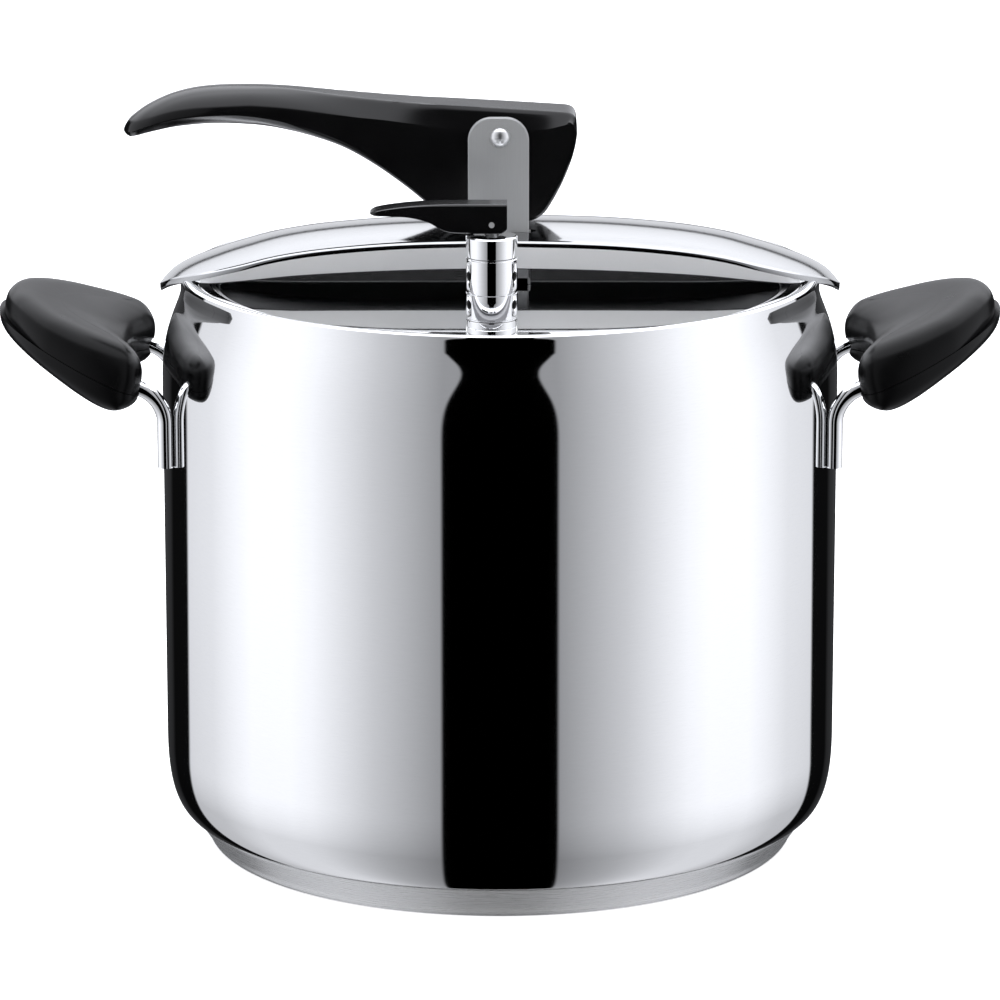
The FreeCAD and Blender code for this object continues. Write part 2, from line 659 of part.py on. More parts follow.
def safety_valve_pin():
    """Pin that rises with the pressure."""
    low = SPIGOT_LOW_Z + 1.0
    top = SAFETY_TOP_Z + 0.2
    profile = [(0, low), (SAFETY_PIN_R, low), (SAFETY_PIN_R, SAFETY_SHOULDER_LOW_Z),
               (SAFETY_SHOULDER_R, SAFETY_SHOULDER_LOW_Z), (SAFETY_SHOULDER_R, SAFETY_SHOULDER_HIGH_Z),
               (SAFETY_PIN_R, SAFETY_SHOULDER_HIGH_Z), (SAFETY_PIN_R, top), (0, top)]
    return lathe(profile, SAFETY_X, SAFETY_Y)


def arc_corner(before, corner, after, radius):
    """Tangent points and mid-point of an arc that rounds a corner."""
    back = before.sub(corner).normalize()
    ahead = after.sub(corner).normalize()
    half = back.getAngle(ahead) / 2
    reach = radius / math.tan(half)
    bisector = back.add(ahead).normalize()
    centre = corner.add(Vector(bisector).multiply(radius / math.sin(half)))
    middle = centre.sub(Vector(bisector).multiply(radius))
    start = corner.add(Vector(back).multiply(reach))
    end = corner.add(Vector(ahead).multiply(reach))
    return start, middle, end


def bent_rod(corners, radii, rod_r):
    """Round rod along straight runs joined by tangent arcs."""
    edges = []
    last = corners[0]
    for index, radius in enumerate(radii):
        start, middle, end = arc_corner(corners[index], corners[index + 1], corners[index + 2], radius)
        edges.append(line(last, start))
        edges.append(Part.Arc(start, middle, end).toShape())
        last = end
    edges.append(line(last, corners[-1]))
    path = Part.Wire(edges)
    section = Part.Wire([Part.makeCircle(rod_r, corners[0], corners[1].sub(corners[0]))])
    return path.makePipeShell([section], True, True)


def handle_rod(rod_r):
    """Bent rod of the right handle: up the wall, out into the grip and back."""
    elbow = Vector(ROD_X, ROD_Y, ROD_ELBOW_Z)
    inside = elbow.add(Vector(ROD_RUN * math.cos(GRIP_TILT), 0, ROD_RUN * math.sin(GRIP_TILT)))
    foot = Vector(ROD_X, ROD_Y, ROD_LOW_Z)
    corners = [foot, elbow, inside]
    corners += [Vector(inside.x, -inside.y, inside.z), Vector(elbow.x, -elbow.y, elbow.z),
                Vector(foot.x, -foot.y, foot.z)]
    return bent_rod(corners, [ROD_ELBOW_R, ROD_LOOP_R, ROD_LOOP_R, ROD_ELBOW_R], rod_r)


def grip_blank():
    """Whole grip of the right handle before it is split."""
    inner = Vector(GRIP_INNER_X, 0, GRIP_INNER_Z)
    outer = Vector(GRIP_OUTER_X, 0, GRIP_OUTER_Z)
    top = spline([inner] + at_side(GRIP_TOP_LINE) + [outer])
    under = spline([outer] + at_side(GRIP_UNDER_LINE) + [inner])
    side = face_of([top, under])
    side.translate(Vector(0, -GRIP_PAST_Y, 0))
    half = [Vector(x, y, GRIP_BELOW_Z) for x, y in GRIP_PLAN]
    other = [Vector(point.x, -point.y, point.z) for point in reversed(half[1:-1])]
    outline = Part.BSplineCurve()
    outline.interpolate(half + other, PeriodicFlag=True)
    plan = Part.Face(Part.Wire([outline.toShape()])).extrude(Vector(0, 0, GRIP_ABOVE_Z - GRIP_BELOW_Z))
    return side.extrude(Vector(0, 2 * GRIP_PAST_Y, 0)).common(plan)


def grip_halves():
    """Upper and lower shells of the right grip, and the cuts they share."""
    blank = grip_blank().cut(handle_rod(ROD_R + 2 * TIGHT))
    start_x, start_z = SEAM_START
    end_z = start_z + (SEAM_END_X - start_x) * math.tan(GRIP_TILT)
    y = -GRIP_PAST_Y
    seam = [Vector(start_x, y, start_z), Vector(SEAM_END_X, y, end_z),
            Vector(SEAM_END_X, y, GRIP_ABOVE_Z), Vector(start_x, y, GRIP_ABOVE_Z)]
    above = polygon(seam).extrude(Vector(0, 2 * GRIP_PAST_Y, 0))
    upper = blank.common(above)
    lower = blank.cut(above)
    for screw_y in (-SCREW_Y, SCREW_Y):
        upper = upper.cut(drum(INSERT_R + 2 * TIGHT, GRIP_BELOW_Z, INSERT_HIGH_Z + 0.1, SCREW_X, screw_y))
        lower = lower.cut(drum(SCREW_R + 0.2, GRIP_BELOW_Z, GRIP_ABOVE_Z, SCREW_X, screw_y))
        lower = lower.cut(drum(SCREW_HEAD_R + 0.3, GRIP_BELOW_Z, SCREW_HEAD_Z, SCREW_X, screw_y))
    return upper, lower


def grip_screw(y):
    """Pan-head screw up through the lower shell."""
    head_low = SCREW_HEAD_Z - 2.0
    slot_half = 0.4
    head = drum(SCREW_HEAD_R, head_low, SCREW_HEAD_Z, SCREW_X, y)
    slot = box((SCREW_X - SCREW_HEAD_R - 1, y - slot_half, head_low - 1),
               (SCREW_X + SCREW_HEAD_R + 1, y + slot_half, head_low + 0.8))
    return head.cut(slot).fuse(drum(SCREW_R, SCREW_HEAD_Z, INSERT_HIGH_Z - 0.4, SCREW_X, y))


def grip_insert(y):
    """Brass threaded insert in the upper shell."""
    return ring(INSERT_R, SCREW_R + 2 * TIGHT, INSERT_LOW_Z, INSERT_HIGH_Z, SCREW_X, y)


def save_handles():
    """Both side handles, the left one a mirror copy of the right one."""
    upper, lower = grip_halves()
    screws = Part.makeCompound([grip_screw(y) for y in (-SCREW_Y, SCREW_Y)])
    inserts = Part.makeCompound([grip_insert(y) for y in (-SCREW_Y, SCREW_Y)])
    pieces = {"handle_rod": handle_rod(ROD_R), "grip_upper": upper, "grip_lower": lower,
              "grip_screws": screws, "grip_inserts": inserts}
    for name, shape in pieces.items():
        save("right_" + name, shape)
        save("left_" + name, mirrored(shape))


def main():
    """Write every piece."""
    os.makedirs("parts", exist_ok=True)
    save("pot_shell", pot_shell())
    core, cap = base_pieces()
    save("base_core", core)
    save("base_cap", cap)
    save_handles()
    save("lid_panel", lid_panel())
    save("lid_gasket", lid_gasket())
    save("bridge", bridge())
    save("lever_bracket", lever_bracket())
    save("lever_pin", lever_pin())
    save("main_lever", main_lever())
    save("lever_bush", lever_bush())
    save("valve_seat", valve_seat())
    save("valve_seat_nut", lock_nut(VALVE_X, VALVE_Y, VALVE_SPOT_Z))
    save("valve_seat_ring", sealing_ring(VALVE_X, VALVE_Y, VALVE_SPOT_Z))
    save("valve_body", valve_body())
    save("valve_cap", valve_cap())
    save("valve_spring", coil(3.6, 0.45, VALVE_SEAT_Z + 3.3, VALVE_TOP_Z - 2.5, 6, VALVE_X, VALVE_Y))
    save("valve_piston", valve_piston())
    save("valve_piston_seal", valve_piston_seal())
    save("valve_lever_pin", valve_lever_pin())
    save("valve_lever", valve_lever())
    save("safety_valve_body", safety_valve_body())
    save("safety_valve_nut", lock_nut(SAFETY_X, SAFETY_Y, SAFETY_SPOT_Z))
    save("safety_valve_ring", sealing_ring(SAFETY_X, SAFETY_Y, SAFETY_SPOT_Z))
    save("safety_valve_cap", safety_valve_cap())
    save("safety_valve_spring", coil(2.4, 0.3, SAFETY_SHOULDER_HIGH_Z + 0.1, SAFETY_TOP_Z - 1.5, 6,
                                     SAFETY_X, SAFETY_Y))
    save("safety_valve_pin", safety_valve_pin())


main()
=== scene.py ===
import json
import math

import bmesh
import bpy
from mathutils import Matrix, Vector


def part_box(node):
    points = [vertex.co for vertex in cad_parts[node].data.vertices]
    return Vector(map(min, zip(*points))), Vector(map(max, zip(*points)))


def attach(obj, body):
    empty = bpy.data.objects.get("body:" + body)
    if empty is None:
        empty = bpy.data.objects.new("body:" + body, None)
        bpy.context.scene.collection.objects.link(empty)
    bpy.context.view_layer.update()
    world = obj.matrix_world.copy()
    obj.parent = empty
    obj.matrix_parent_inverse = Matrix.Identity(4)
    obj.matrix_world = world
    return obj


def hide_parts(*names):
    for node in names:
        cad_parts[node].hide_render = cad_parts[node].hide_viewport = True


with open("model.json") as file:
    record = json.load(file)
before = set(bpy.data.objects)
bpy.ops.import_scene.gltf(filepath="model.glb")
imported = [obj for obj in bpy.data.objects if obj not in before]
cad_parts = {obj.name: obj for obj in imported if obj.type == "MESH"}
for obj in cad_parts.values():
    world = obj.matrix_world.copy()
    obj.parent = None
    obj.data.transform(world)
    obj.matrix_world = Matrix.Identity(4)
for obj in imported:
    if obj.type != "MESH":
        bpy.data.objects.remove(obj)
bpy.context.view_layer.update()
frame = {"nodes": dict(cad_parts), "record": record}

MM = 0.001


def joint_named(name):
    """The record's joint with this name."""
    return next(joint for joint in frame["record"]["behaviour"]["joints"] if joint["name"] == name)


PIVOT = Vector(joint_named("lever_swing")["pos_m"])
VALVE_PIN = Vector(joint_named("valve_lever_flip")["pos_m"])


# ---------------------------------------------------------------- curves and meshes

def bezier(p0, p1, p2, p3, count):
    """Points along a cubic curve, without its first point."""
    points = []
    for index in range(1, count + 1):
        t = index / count
        s = 1 - t
        weights = (s * s * s, 3 * s * s * t, 3 * s * t * t, t * t * t)
        points.append(tuple(sum(w * p[axis] for w, p in zip(weights, (p0, p1, p2, p3))) for axis in (0, 1)))
    return points


def arc(centre, radius, start, end, count):
    """Points round a circle in degrees, both ends included."""
    turns = [math.radians(start + (end - start) * index / count) for index in range(count + 1)]
    return [(centre[0] + radius * math.cos(turn), centre[1] + radius * math.sin(turn)) for turn in turns]


def smooth_table(points):
    """Smooth function through x, value points with x rising, constant beyond both ends."""
    xs = [point[0] for point in points]
    ys = [point[1] for point in points]
    count = len(xs)
    slopes = []
    for index in range(count):
        low = max(index - 1, 0)
        high = min(index + 1, count - 1)
        slopes.append((ys[high] - ys[low]) / (xs[high] - xs[low]))

    def value(x):
        x = min(max(x, xs[0]), xs[-1])
        index = 0
        while index < count - 2 and x > xs[index + 1]:
            index += 1
        step = xs[index + 1] - xs[index]
        t = (x - xs[index]) / step
        t2 = t * t
        t3 = t2 * t
        return ((2 * t3 - 3 * t2 + 1) * ys[index] + (t3 - 2 * t2 + t) * step * slopes[index]
                + (3 * t2 - 2 * t3) * ys[index + 1] + (t3 - t2) * step * slopes[index + 1])

    return value


def mesh_object(name, verts, faces, sharp_degrees=32):
    """New smooth-shaded object from points in millimetres."""
    mesh = bpy.data.meshes.new(name)
    mesh.from_pydata([(x * MM, y * MM, z * MM) for x, y, z in verts], [], faces)
    work = bmesh.new()
    work.from_mesh(mesh)
    bmesh.ops.remove_doubles(work, verts=work.verts, dist=1e-6)
    bmesh.ops.recalc_face_normals(work, faces=work.faces)
    work.to_mesh(mesh)
    work.free()
    mesh.polygons.foreach_set("use_smooth", [True] * len(mesh.polygons))
    mesh.set_sharp_from_angle(angle=math.radians(sharp_degrees))
    made = bpy.data.objects.new(name, mesh)
    bpy.context.scene.collection.objects.link(made)
    return made


def skin(name, loops, closed_ring=True, cap_start=False, cap_end=False, wrap=False, sharp_degrees=32):
    """Surface through loops of equal length, each a list of points."""
    size = len(loops[0])
    verts = [point for loop in loops for point in loop]
    faces = []
    rows = len(loops) if wrap else len(loops) - 1
    columns = size if closed_ring else size - 1
    for row in range(rows):
        following = (row + 1) % len(loops)
        for column in range(columns):
            beside = (column + 1) % size
            faces.append((row * size + column, row * size + beside,
                          following * size + beside, following * size + column))
    if cap_start:
        faces.append(tuple(range(size)))
    if cap_end:
        faces.append(tuple((len(loops) - 1) * size + column for column in range(size)))
    return mesh_object(name, verts, faces, sharp_degrees)


def lathe(name, profile, segments, x=0.0, y=0.0):
    """Turned piece from a closed run of radius, Z points."""
    loops = []
    for index in range(segments):
        turn = 2 * math.pi * index / segments
        loops.append([(x + r * math.cos(turn), y + r * math.sin(turn), z) for r, z in profile])
    return skin(name, loops, wrap=True)


def cut(target, cutters):
    """Subtract the cutters from the target and remove them."""
    for cutter in cutters:
        change = target.modifiers.new("cut", "BOOLEAN")
        change.operation = "DIFFERENCE"
        change.solver = "EXACT"
        change.object = cutter
    graph = bpy.context.evaluated_depsgraph_get()
    mesh = bpy.data.meshes.new_from_object(target.evaluated_get(graph))
    target.modifiers.clear()
    target.data = mesh
    for cutter in cutters:
        bpy.data.objects.remove(cutter)


def rod_between(name, start, end, radius, segments):
    """Plain closed cylinder, used as a cutter."""
    axis = Vector(end) - Vector(start)
    turn = axis.to_track_quat("Z", "Y")
    loops = []
    for along in (0.0, 1.0):
        loop = []
        for index in range(segments):
            angle = 2 * math.pi * index / segments
            across = turn @ Vector((radius * math.cos(angle), radius * math.sin(angle), 0))
            loop.append(tuple(Vector(start) + axis * along + across))
        loops.append(loop)
    return skin(name, loops, cap_start=True, cap_end=True)


def block(name, low, high):
    """Plain closed block, used as a cutter."""
    loops = []
    for x in (low[0], high[0]):
        loops.append([(x, low[1], low[2]), (x, high[1], low[2]),
                      (x, high[1], high[2]), (x, low[1], high[2])])
    return skin(name, loops, cap_start=True, cap_end=True)


# ---------------------------------------------------------------- materials

def new_material(name, colour, metallic, roughness):
    """Principled material and its node tree."""
    made = bpy.data.materials.new(name)
    made.use_nodes = True
    tree = made.node_tree
    shader = tree.nodes["Principled BSDF"]
    shader.inputs["Base Color"].default_value = (*colour, 1)
    shader.inputs["Metallic"].default_value = metallic
    shader.inputs["Roughness"].default_value = roughness
    return made, tree, shader


def object_coordinates(tree, scale):
    """Object coordinates stretched by a scale on each axis."""
    source = tree.nodes.new("ShaderNodeTexCoord")
    mapping = tree.nodes.new("ShaderNodeMapping")
    mapping.inputs["Scale"].default_value = scale
    tree.links.new(source.outputs["Object"], mapping.inputs["Vector"])
    return mapping.outputs["Vector"]


def noise(tree, vector, scale, detail, rough):
    """Noise from 0 to 1."""
    node = tree.nodes.new("ShaderNodeTexNoise")
    node.inputs["Scale"].default_value = scale
    node.inputs["Detail"].default_value = detail
    node.inputs["Roughness"].default_value = rough
    tree.links.new(vector, node.inputs["Vector"])
    return node.outputs["Fac"]


def spread(tree, value, low, high):
    """Map 0 to 1 onto low to high."""
    node = tree.nodes.new("ShaderNodeMapRange")
    node.inputs["To Min"].default_value = low
    node.inputs["To Max"].default_value = high
    tree.links.new(value, node.inputs["Value"])
    return node.outputs["Result"]


def add_bump(tree, shader, height, strength, distance):
    """Bump the shader's normal."""
    node = tree.nodes.new("ShaderNodeBump")
    node.inputs["Strength"].default_value = strength
    node.inputs["Distance"].default_value = distance
    tree.links.new(height, node.inputs["Height"])
    tree.links.new(node.outputs["Normal"], shader.inputs["Normal"])


def tint(tree, shader, value, dark, light):
    """Vary the base colour between two shades."""
    ramp = tree.nodes.new("ShaderNodeValToRGB")
    ramp.color_ramp.elements[0].color = (*dark, 1)
    ramp.color_ramp.elements[1].color = (*light, 1)
    tree.links.new(value, ramp.inputs["Fac"])
    tree.links.new(ramp.outputs["Color"], shader.inputs["Base Color"])


def mirror_steel():
    """Mirror-polished stainless steel with faint buffing streaks."""
    made, tree, shader = new_material("mirror_steel", (0.93, 0.935, 0.94), 1.0, 0.03)
    streaks = noise(tree, object_coordinates(tree, (60, 60, 900)), 4.0, 4.0, 0.6)
    tree.links.new(spread(tree, streaks, 0.02, 0.06), shader.inputs["Roughness"])
    tint(tree, shader, streaks, (0.90, 0.905, 0.91), (0.955, 0.96, 0.965))
    return made


def bridge_steel():
    """Polished steel of the bridge, buffed along its length."""
    made, tree, shader = new_material("bridge_steel", (0.46, 0.465, 0.47), 1.0, 0.12)
    streaks = noise(tree, object_coordinates(tree, (20, 900, 900)), 4.0, 4.0, 0.6)
    tree.links.new(spread(tree, streaks, 0.07, 0.14), shader.inputs["Roughness"])
    tint(tree, shader, streaks, (0.40, 0.405, 0.41), (0.50, 0.505, 0.51))
    return made


def satin_steel(name, dark, light):
    """Satin steel with a fine vertical grain."""
    made, tree, shader = new_material(name, light, 0.55, 0.45)
    shader.inputs["Specular IOR Level"].default_value = 0.4
    grain = noise(tree, object_coordinates(tree, (2400, 2400, 30)), 3.0, 5.0, 0.7)
    tree.links.new(spread(tree, grain, 0.38, 0.52), shader.inputs["Roughness"])
    tint(tree, shader, grain, dark, light)
    add_bump(tree, shader, grain, 0.10, 0.00004)
    return made


def base_steel():
    """Brushed steel of the base, with a grain that runs round it."""
    made, tree, shader = new_material("base_steel", (0.90, 0.905, 0.91), 0.6, 0.28)
    grain = noise(tree, object_coordinates(tree, (30, 30, 2600)), 3.0, 5.0, 0.6)
    tree.links.new(spread(tree, grain, 0.22, 0.34), shader.inputs["Roughness"])
    tint(tree, shader, grain, (0.70, 0.705, 0.71), (0.78, 0.785, 0.79))
    add_bump(tree, shader, grain, 0.02, 0.00002)
    return made


def black_plastic(name, roughness_low, roughness_high, grain_strength, specular):
    """Black phenolic with a fine moulded grain."""
    made, tree, shader = new_material(name, (0.004, 0.004, 0.0042), 0.0, roughness_high)
    shader.inputs["Specular IOR Level"].default_value = specular
    cloud = noise(tree, object_coordinates(tree, (1, 1, 1)), 90.0, 4.0, 0.6)
    tree.links.new(spread(tree, cloud, roughness_low, roughness_high), shader.inputs["Roughness"])
    tint(tree, shader, cloud, (0.0012, 0.0012, 0.0013), (0.0030, 0.0030, 0.0032))
    grain = noise(tree, object_coordinates(tree, (1, 1, 1)), 1800.0, 2.0, 0.5)
    add_bump(tree, shader, grain, grain_strength, 0.00006)
    return made


def rubber():
    """Grey silicone rubber."""
    made, tree, shader = new_material("seal_rubber", (0.30, 0.30, 0.31), 0.0, 0.6)
    cloud = noise(tree, object_coordinates(tree, (1, 1, 1)), 220.0, 3.0, 0.5)
    tint(tree, shader, cloud, (0.25, 0.25, 0.26), (0.36, 0.36, 0.37))
    add_bump(tree, shader, cloud, 0.15, 0.0001)
    return made


def turned_metal(name, dark, light):
    """Turned metal with fine tool marks."""
    made, tree, shader = new_material(name, light, 1.0, 0.3)
    marks = noise(tree, object_coordinates(tree, (200, 200, 3000)), 4.0, 3.0, 0.6)
    tint(tree, shader, marks, dark, light)
    tree.links.new(spread(tree, marks, 0.22, 0.38), shader.inputs["Roughness"])
    return made


MIRROR = mirror_steel()
BRIDGE_STEEL = bridge_steel()
SATIN = satin_steel("satin_steel", (0.30, 0.305, 0.31), (0.38, 0.385, 0.39))
FLANGE_SATIN = satin_steel("flange_satin", (0.57, 0.575, 0.58), (0.65, 0.655, 0.66))
# Near-black steel: painted shade for the bridge's underside and the valve's bore and vents.
PAINTED_SHADE_STEEL = satin_steel("painted_shade_steel", (0.020, 0.020, 0.021), (0.034, 0.034, 0.035))
RIVET_STEEL = turned_metal("rivet_steel", (0.74, 0.745, 0.75), (0.86, 0.865, 0.87))
BASE_STEEL = base_steel()
LEVER_BLACK = black_plastic("lever_black", 0.14, 0.20, 0.04, 0.28)
GRIP_BLACK = black_plastic("grip_black", 0.25, 0.33, 0.08, 0.12)
RUBBER = rubber()
ALUMINIUM = turned_metal("core_aluminium", (0.72, 0.72, 0.74), (0.86, 0.86, 0.88))
BRASS = turned_metal("insert_brass", (0.60, 0.44, 0.18), (0.80, 0.62, 0.30))
SLOT_MATERIALS = {"polished_steel": MIRROR, "satin_steel": SATIN, "aluminium_core": ALUMINIUM,
                  "black_lever": LEVER_BLACK, "black_grip": GRIP_BLACK, "grey_rubber": RUBBER,
                  "brass_insert": BRASS}


def dress_cad_nodes():
    """Give every carried-over node its detailed material."""
    slots = {part["node"]: part["material_slot"] for part in frame["record"]["subparts"]}
    for name, node in frame["nodes"].items():
        node.data.materials.clear()
        node.data.materials.append(SLOT_MATERIALS[slots[name]])


def place(piece, material, body, slot, *nodes):
    """Finish a new piece: material, body and the nodes it stands for; the slot argument is not used."""
    piece.data.materials.clear()
    piece.data.materials.append(material)
    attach(piece, body)
    if nodes:
        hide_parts(*nodes)
    return piece


# ---------------------------------------------------------------- pot

CENTRE_R = 0.5          # turned profiles stop just short of the axis
POT_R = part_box("pot_shell")[1].x / MM
BASE_TOP = (102.4, 11.2)
FLOOR_TOP_Z = 12.6
WALL = 1.2
WALL_LOW_Z = 36.0       # the wall is straight between these two heights
WALL_HIGH_Z = 156.0
NECK_R = 103.7
NECK_LOW_Z = 184.0
MOUTH = (94.5, 98.5)    # half of the oval mouth's width and depth
RIM_INNER_R = 98.2
FLANGE_TOP_Z = 188.2
FLANGE_UNDER_Z = 187.0


def pot_outline():
    """Outer profile from the middle of the floor to the inner edge of the rim."""
    profile = [(CENTRE_R, BASE_TOP[1]), (60.0, BASE_TOP[1]), BASE_TOP]
    profile += bezier(BASE_TOP, (106.5, 12.5), (POT_R, 18.0), (POT_R, WALL_LOW_Z), 24)
    profile += [(POT_R, z) for z in (60.0, 96.0, 128.0, WALL_HIGH_Z)]
    profile += bezier((POT_R, WALL_HIGH_Z), (POT_R, 172.0), (104.6, 178.0), (NECK_R, NECK_LOW_Z), 30)
    profile += [(NECK_R, 186.0), (NECK_R, 187.6)]
    profile += bezier((NECK_R, 187.6), (NECK_R, 190.3), (101.2, 190.0), (RIM_INNER_R, FLANGE_TOP_Z), 16)
    return profile


def pot_inside():
    """Inner profile from the neck down to the middle of the floor."""
    inner_neck = NECK_R - WALL
    inner_r = POT_R - WALL
    profile = [(inner_neck, FLANGE_UNDER_Z), (inner_neck, NECK_LOW_Z)]
    profile += bezier((inner_neck, NECK_LOW_Z), (103.4, 178.0), (inner_r, 171.5), (inner_r, WALL_HIGH_Z), 12)
    profile += [(inner_r, 96.0), (inner_r, WALL_LOW_Z)]
    profile += bezier((inner_r, WALL_LOW_Z), (inner_r, 18.6), (105.7, 13.6), (101.6, FLOOR_TOP_Z), 12)
    profile += [(CENTRE_R, FLOOR_TOP_Z)]
    return profile


def make_pot():
    """Pot with its oval mouth: the flange runs from the round rim to an ellipse."""
    segments = 320
    outer = pot_outline()
    inside = pot_inside()
    loops = []
    for index in range(segments):
        turn = 2 * math.pi * index / segments
        cos, sin = math.cos(turn), math.sin(turn)
        mouth_r = 1 / math.hypot(cos / MOUTH[0], sin / MOUTH[1])
        # The mouth's edge is turned over a small radius.
        edge = [(mouth_r + 0.6, FLANGE_TOP_Z), (mouth_r + 0.15, FLANGE_TOP_Z - 0.18),
                (mouth_r, FLANGE_TOP_Z - 0.6), (mouth_r + 0.15, FLANGE_UNDER_Z + 0.18),
                (mouth_r + 0.6, FLANGE_UNDER_Z)]
        profile = outer + edge + inside
        loops.append([(r * cos, r * sin, z) for r, z in profile])
    pot = skin("pot_wall", loops, wrap=True)
    return place(pot, MIRROR, "pot_body", "polished_steel", "pot_shell")


def make_base():
    """Steel cap of the base, with a rolled foot and a flat ground face."""
    face_r = 92.6
    profile = [(CENTRE_R, 0.0), (60.0, 0.0), (face_r, 0.0)]
    profile += bezier((face_r, 0.0), (95.4, 0.0), (96.3, 0.9), (97.0, 3.0), 10)
    profile += bezier((97.0, 3.0), (98.4, 5.2), (100.6, 8.4), (102.2, 10.6), 8)
    profile += [(102.3, 11.0), (101.6, 11.15), (CENTRE_R, 11.15)]
    base = lathe("base_disc", profile, 240)
    return place(base, BASE_STEEL, "pot_body", "polished_steel", "base_cap")


# ---------------------------------------------------------------- lid

LID_TOP_Z = 187.7
LID_DOME_R = 1900.0
PLATEAU_R = 92.0
LID_OVAL = (97.9, 101.9)    # half of the flange's width and depth
LID_FLANGE_TOP_Z = 182.4
LID_FLANGE_UNDER_Z = 180.9


def make_lid():
    """Domed lid with a step down to its oval flange."""
    segments = 320
    loops = []
    for index in range(segments):
        turn = 2 * math.pi * index / segments
        cos, sin = math.cos(turn), math.sin(turn)
        flange_r = 1 / math.hypot(cos / LID_OVAL[0], sin / LID_OVAL[1])
        top = [(r, LID_TOP_Z - r * r / (2 * LID_DOME_R)) for r in (0.4, 12, 24, 36, 48, 60, 72, 82, 90)]
        edge_z = top[-1][1]
        top += bezier(top[-1], (PLATEAU_R - 0.8, edge_z), (PLATEAU_R, edge_z - 0.8),
                      (PLATEAU_R, edge_z - 2.0), 8)
        flange = [(PLATEAU_R, 182.6), (PLATEAU_R + 0.2, LID_FLANGE_TOP_Z), (flange_r - 0.5, LID_FLANGE_TOP_Z),
                  (flange_r, 181.9), (flange_r, 181.4), (flange_r - 0.5, LID_FLANGE_UNDER_Z),
                  (PLATEAU_R - 1.5, LID_FLANGE_UNDER_Z),
                  (PLATEAU_R - 1.5, edge_z - 1.8), (PLATEAU_R - 3.0, edge_z - 1.5)]
        under = [(r, LID_TOP_Z - 1.5 - r * r / (2 * LID_DOME_R)) for r in (72, 48, 24, 0.4)]
        loops.append([(r * cos, r * sin, z) for r, z in top + flange + under])
    lid = skin("lid", loops, wrap=True)
    return place(lid, MIRROR, "lid_body", "polished_steel", "lid_panel")


# ---------------------------------------------------------------- bridge

BRIDGE_TIP_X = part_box("bridge")[1].x / MM
BRIDGE_SHEET = 1.4
BRIDGE_STRAIGHT_X = 78.0    # the sides are straight this far out, then round off to the tip
BRIDGE_HALF_WIDTH = 24.0
CROWN_CURVE = 0.00434       # how fast the top falls across the strap
EDGE_ROLL = 2.1
FLANGE_END_X = 96.5         # the turned-down sides fade out from here to the tip
SLOT_X = (-10.7, 9.9)       # the two slots that the uprights come through
SLOT_Y = 13.5
SLOT_HALF = 1.5
CROWN = smooth_table([(0, 206.0), (32, 205.2), (56, 203.3), (72, 200.9), (85, 197.5), (94, 194.6),
                      (102, 191.5), (107, 188.7), (110.5, 185.4)])
FLANGE_LOW = smooth_table([(0, 194.5), (32, 193.8), (64, 192.2), (84, 190.2), (92, 189.2), (96.5, 188.9)])


def bridge_half_width(x):
    """Half of the bridge's width: straight, then an elliptical end."""
    if abs(x) <= BRIDGE_STRAIGHT_X:
        return BRIDGE_HALF_WIDTH
    reach = min((abs(x) - BRIDGE_STRAIGHT_X) / (BRIDGE_TIP_X - BRIDGE_STRAIGHT_X), 1.0)
    return BRIDGE_HALF_WIDTH * math.sqrt(max(1 - reach * reach, 0.0))


def bridge_section(x):
    """Closed cross-section of the bridge at x."""
    half = max(bridge_half_width(x), 0.15)
    crown = CROWN(abs(x))
    roll = min(EDGE_ROLL, half * 0.5)
    edge_z = crown - CROWN_CURVE * (half - roll) ** 2
    sheet = BRIDGE_SHEET
    sheet_low = edge_z - roll - 0.2
    end_slant = min(max((abs(x) - FLANGE_END_X) / 3.0, 0.0), 1.0)
    low = FLANGE_LOW(min(abs(x), FLANGE_END_X)) * (1 - end_slant) + sheet_low * end_slant
    low = min(low, sheet_low)
    lean = 0.11
    points = []
    steps = 14
    for index in range(steps + 1):
        y = -(half - roll) * (1 - index / steps)
        points.append((y, crown - CROWN_CURVE * y * y))
    outer = []
    for index in range(1, 9):
        turn = math.radians(90 * index / 8)
        outer.append((-(half - roll) - roll * math.sin(turn), edge_z - roll * (1 - math.cos(turn))))
    bottom_y = -half + (edge_z - roll - low) * lean
    side = [(bottom_y, low + 0.35), (bottom_y + 0.3, low)]
    inner = [(bottom_y + sheet - 0.3, low), (bottom_y + sheet, low + 0.35), (-half + sheet, edge_z - roll)]
    inside = []
    for index in range(1, 6):
        turn = math.radians(90 * index / 5)
        small = max(roll - sheet, 0.1)
        inside.append((-(half - roll) - small * math.cos(turn), edge_z - roll + small * math.sin(turn)))
    under = [(y, z - sheet) for y, z in points[1:]]
    # One side runs from the middle of the top, down the flange and back to the middle underneath.
    run = list(reversed(points)) + outer + side + inner + inside + under
    mirrored = [(-y, z) for y, z in reversed(run[1:-1])]
    return [(x, y, z) for y, z in run + mirrored]


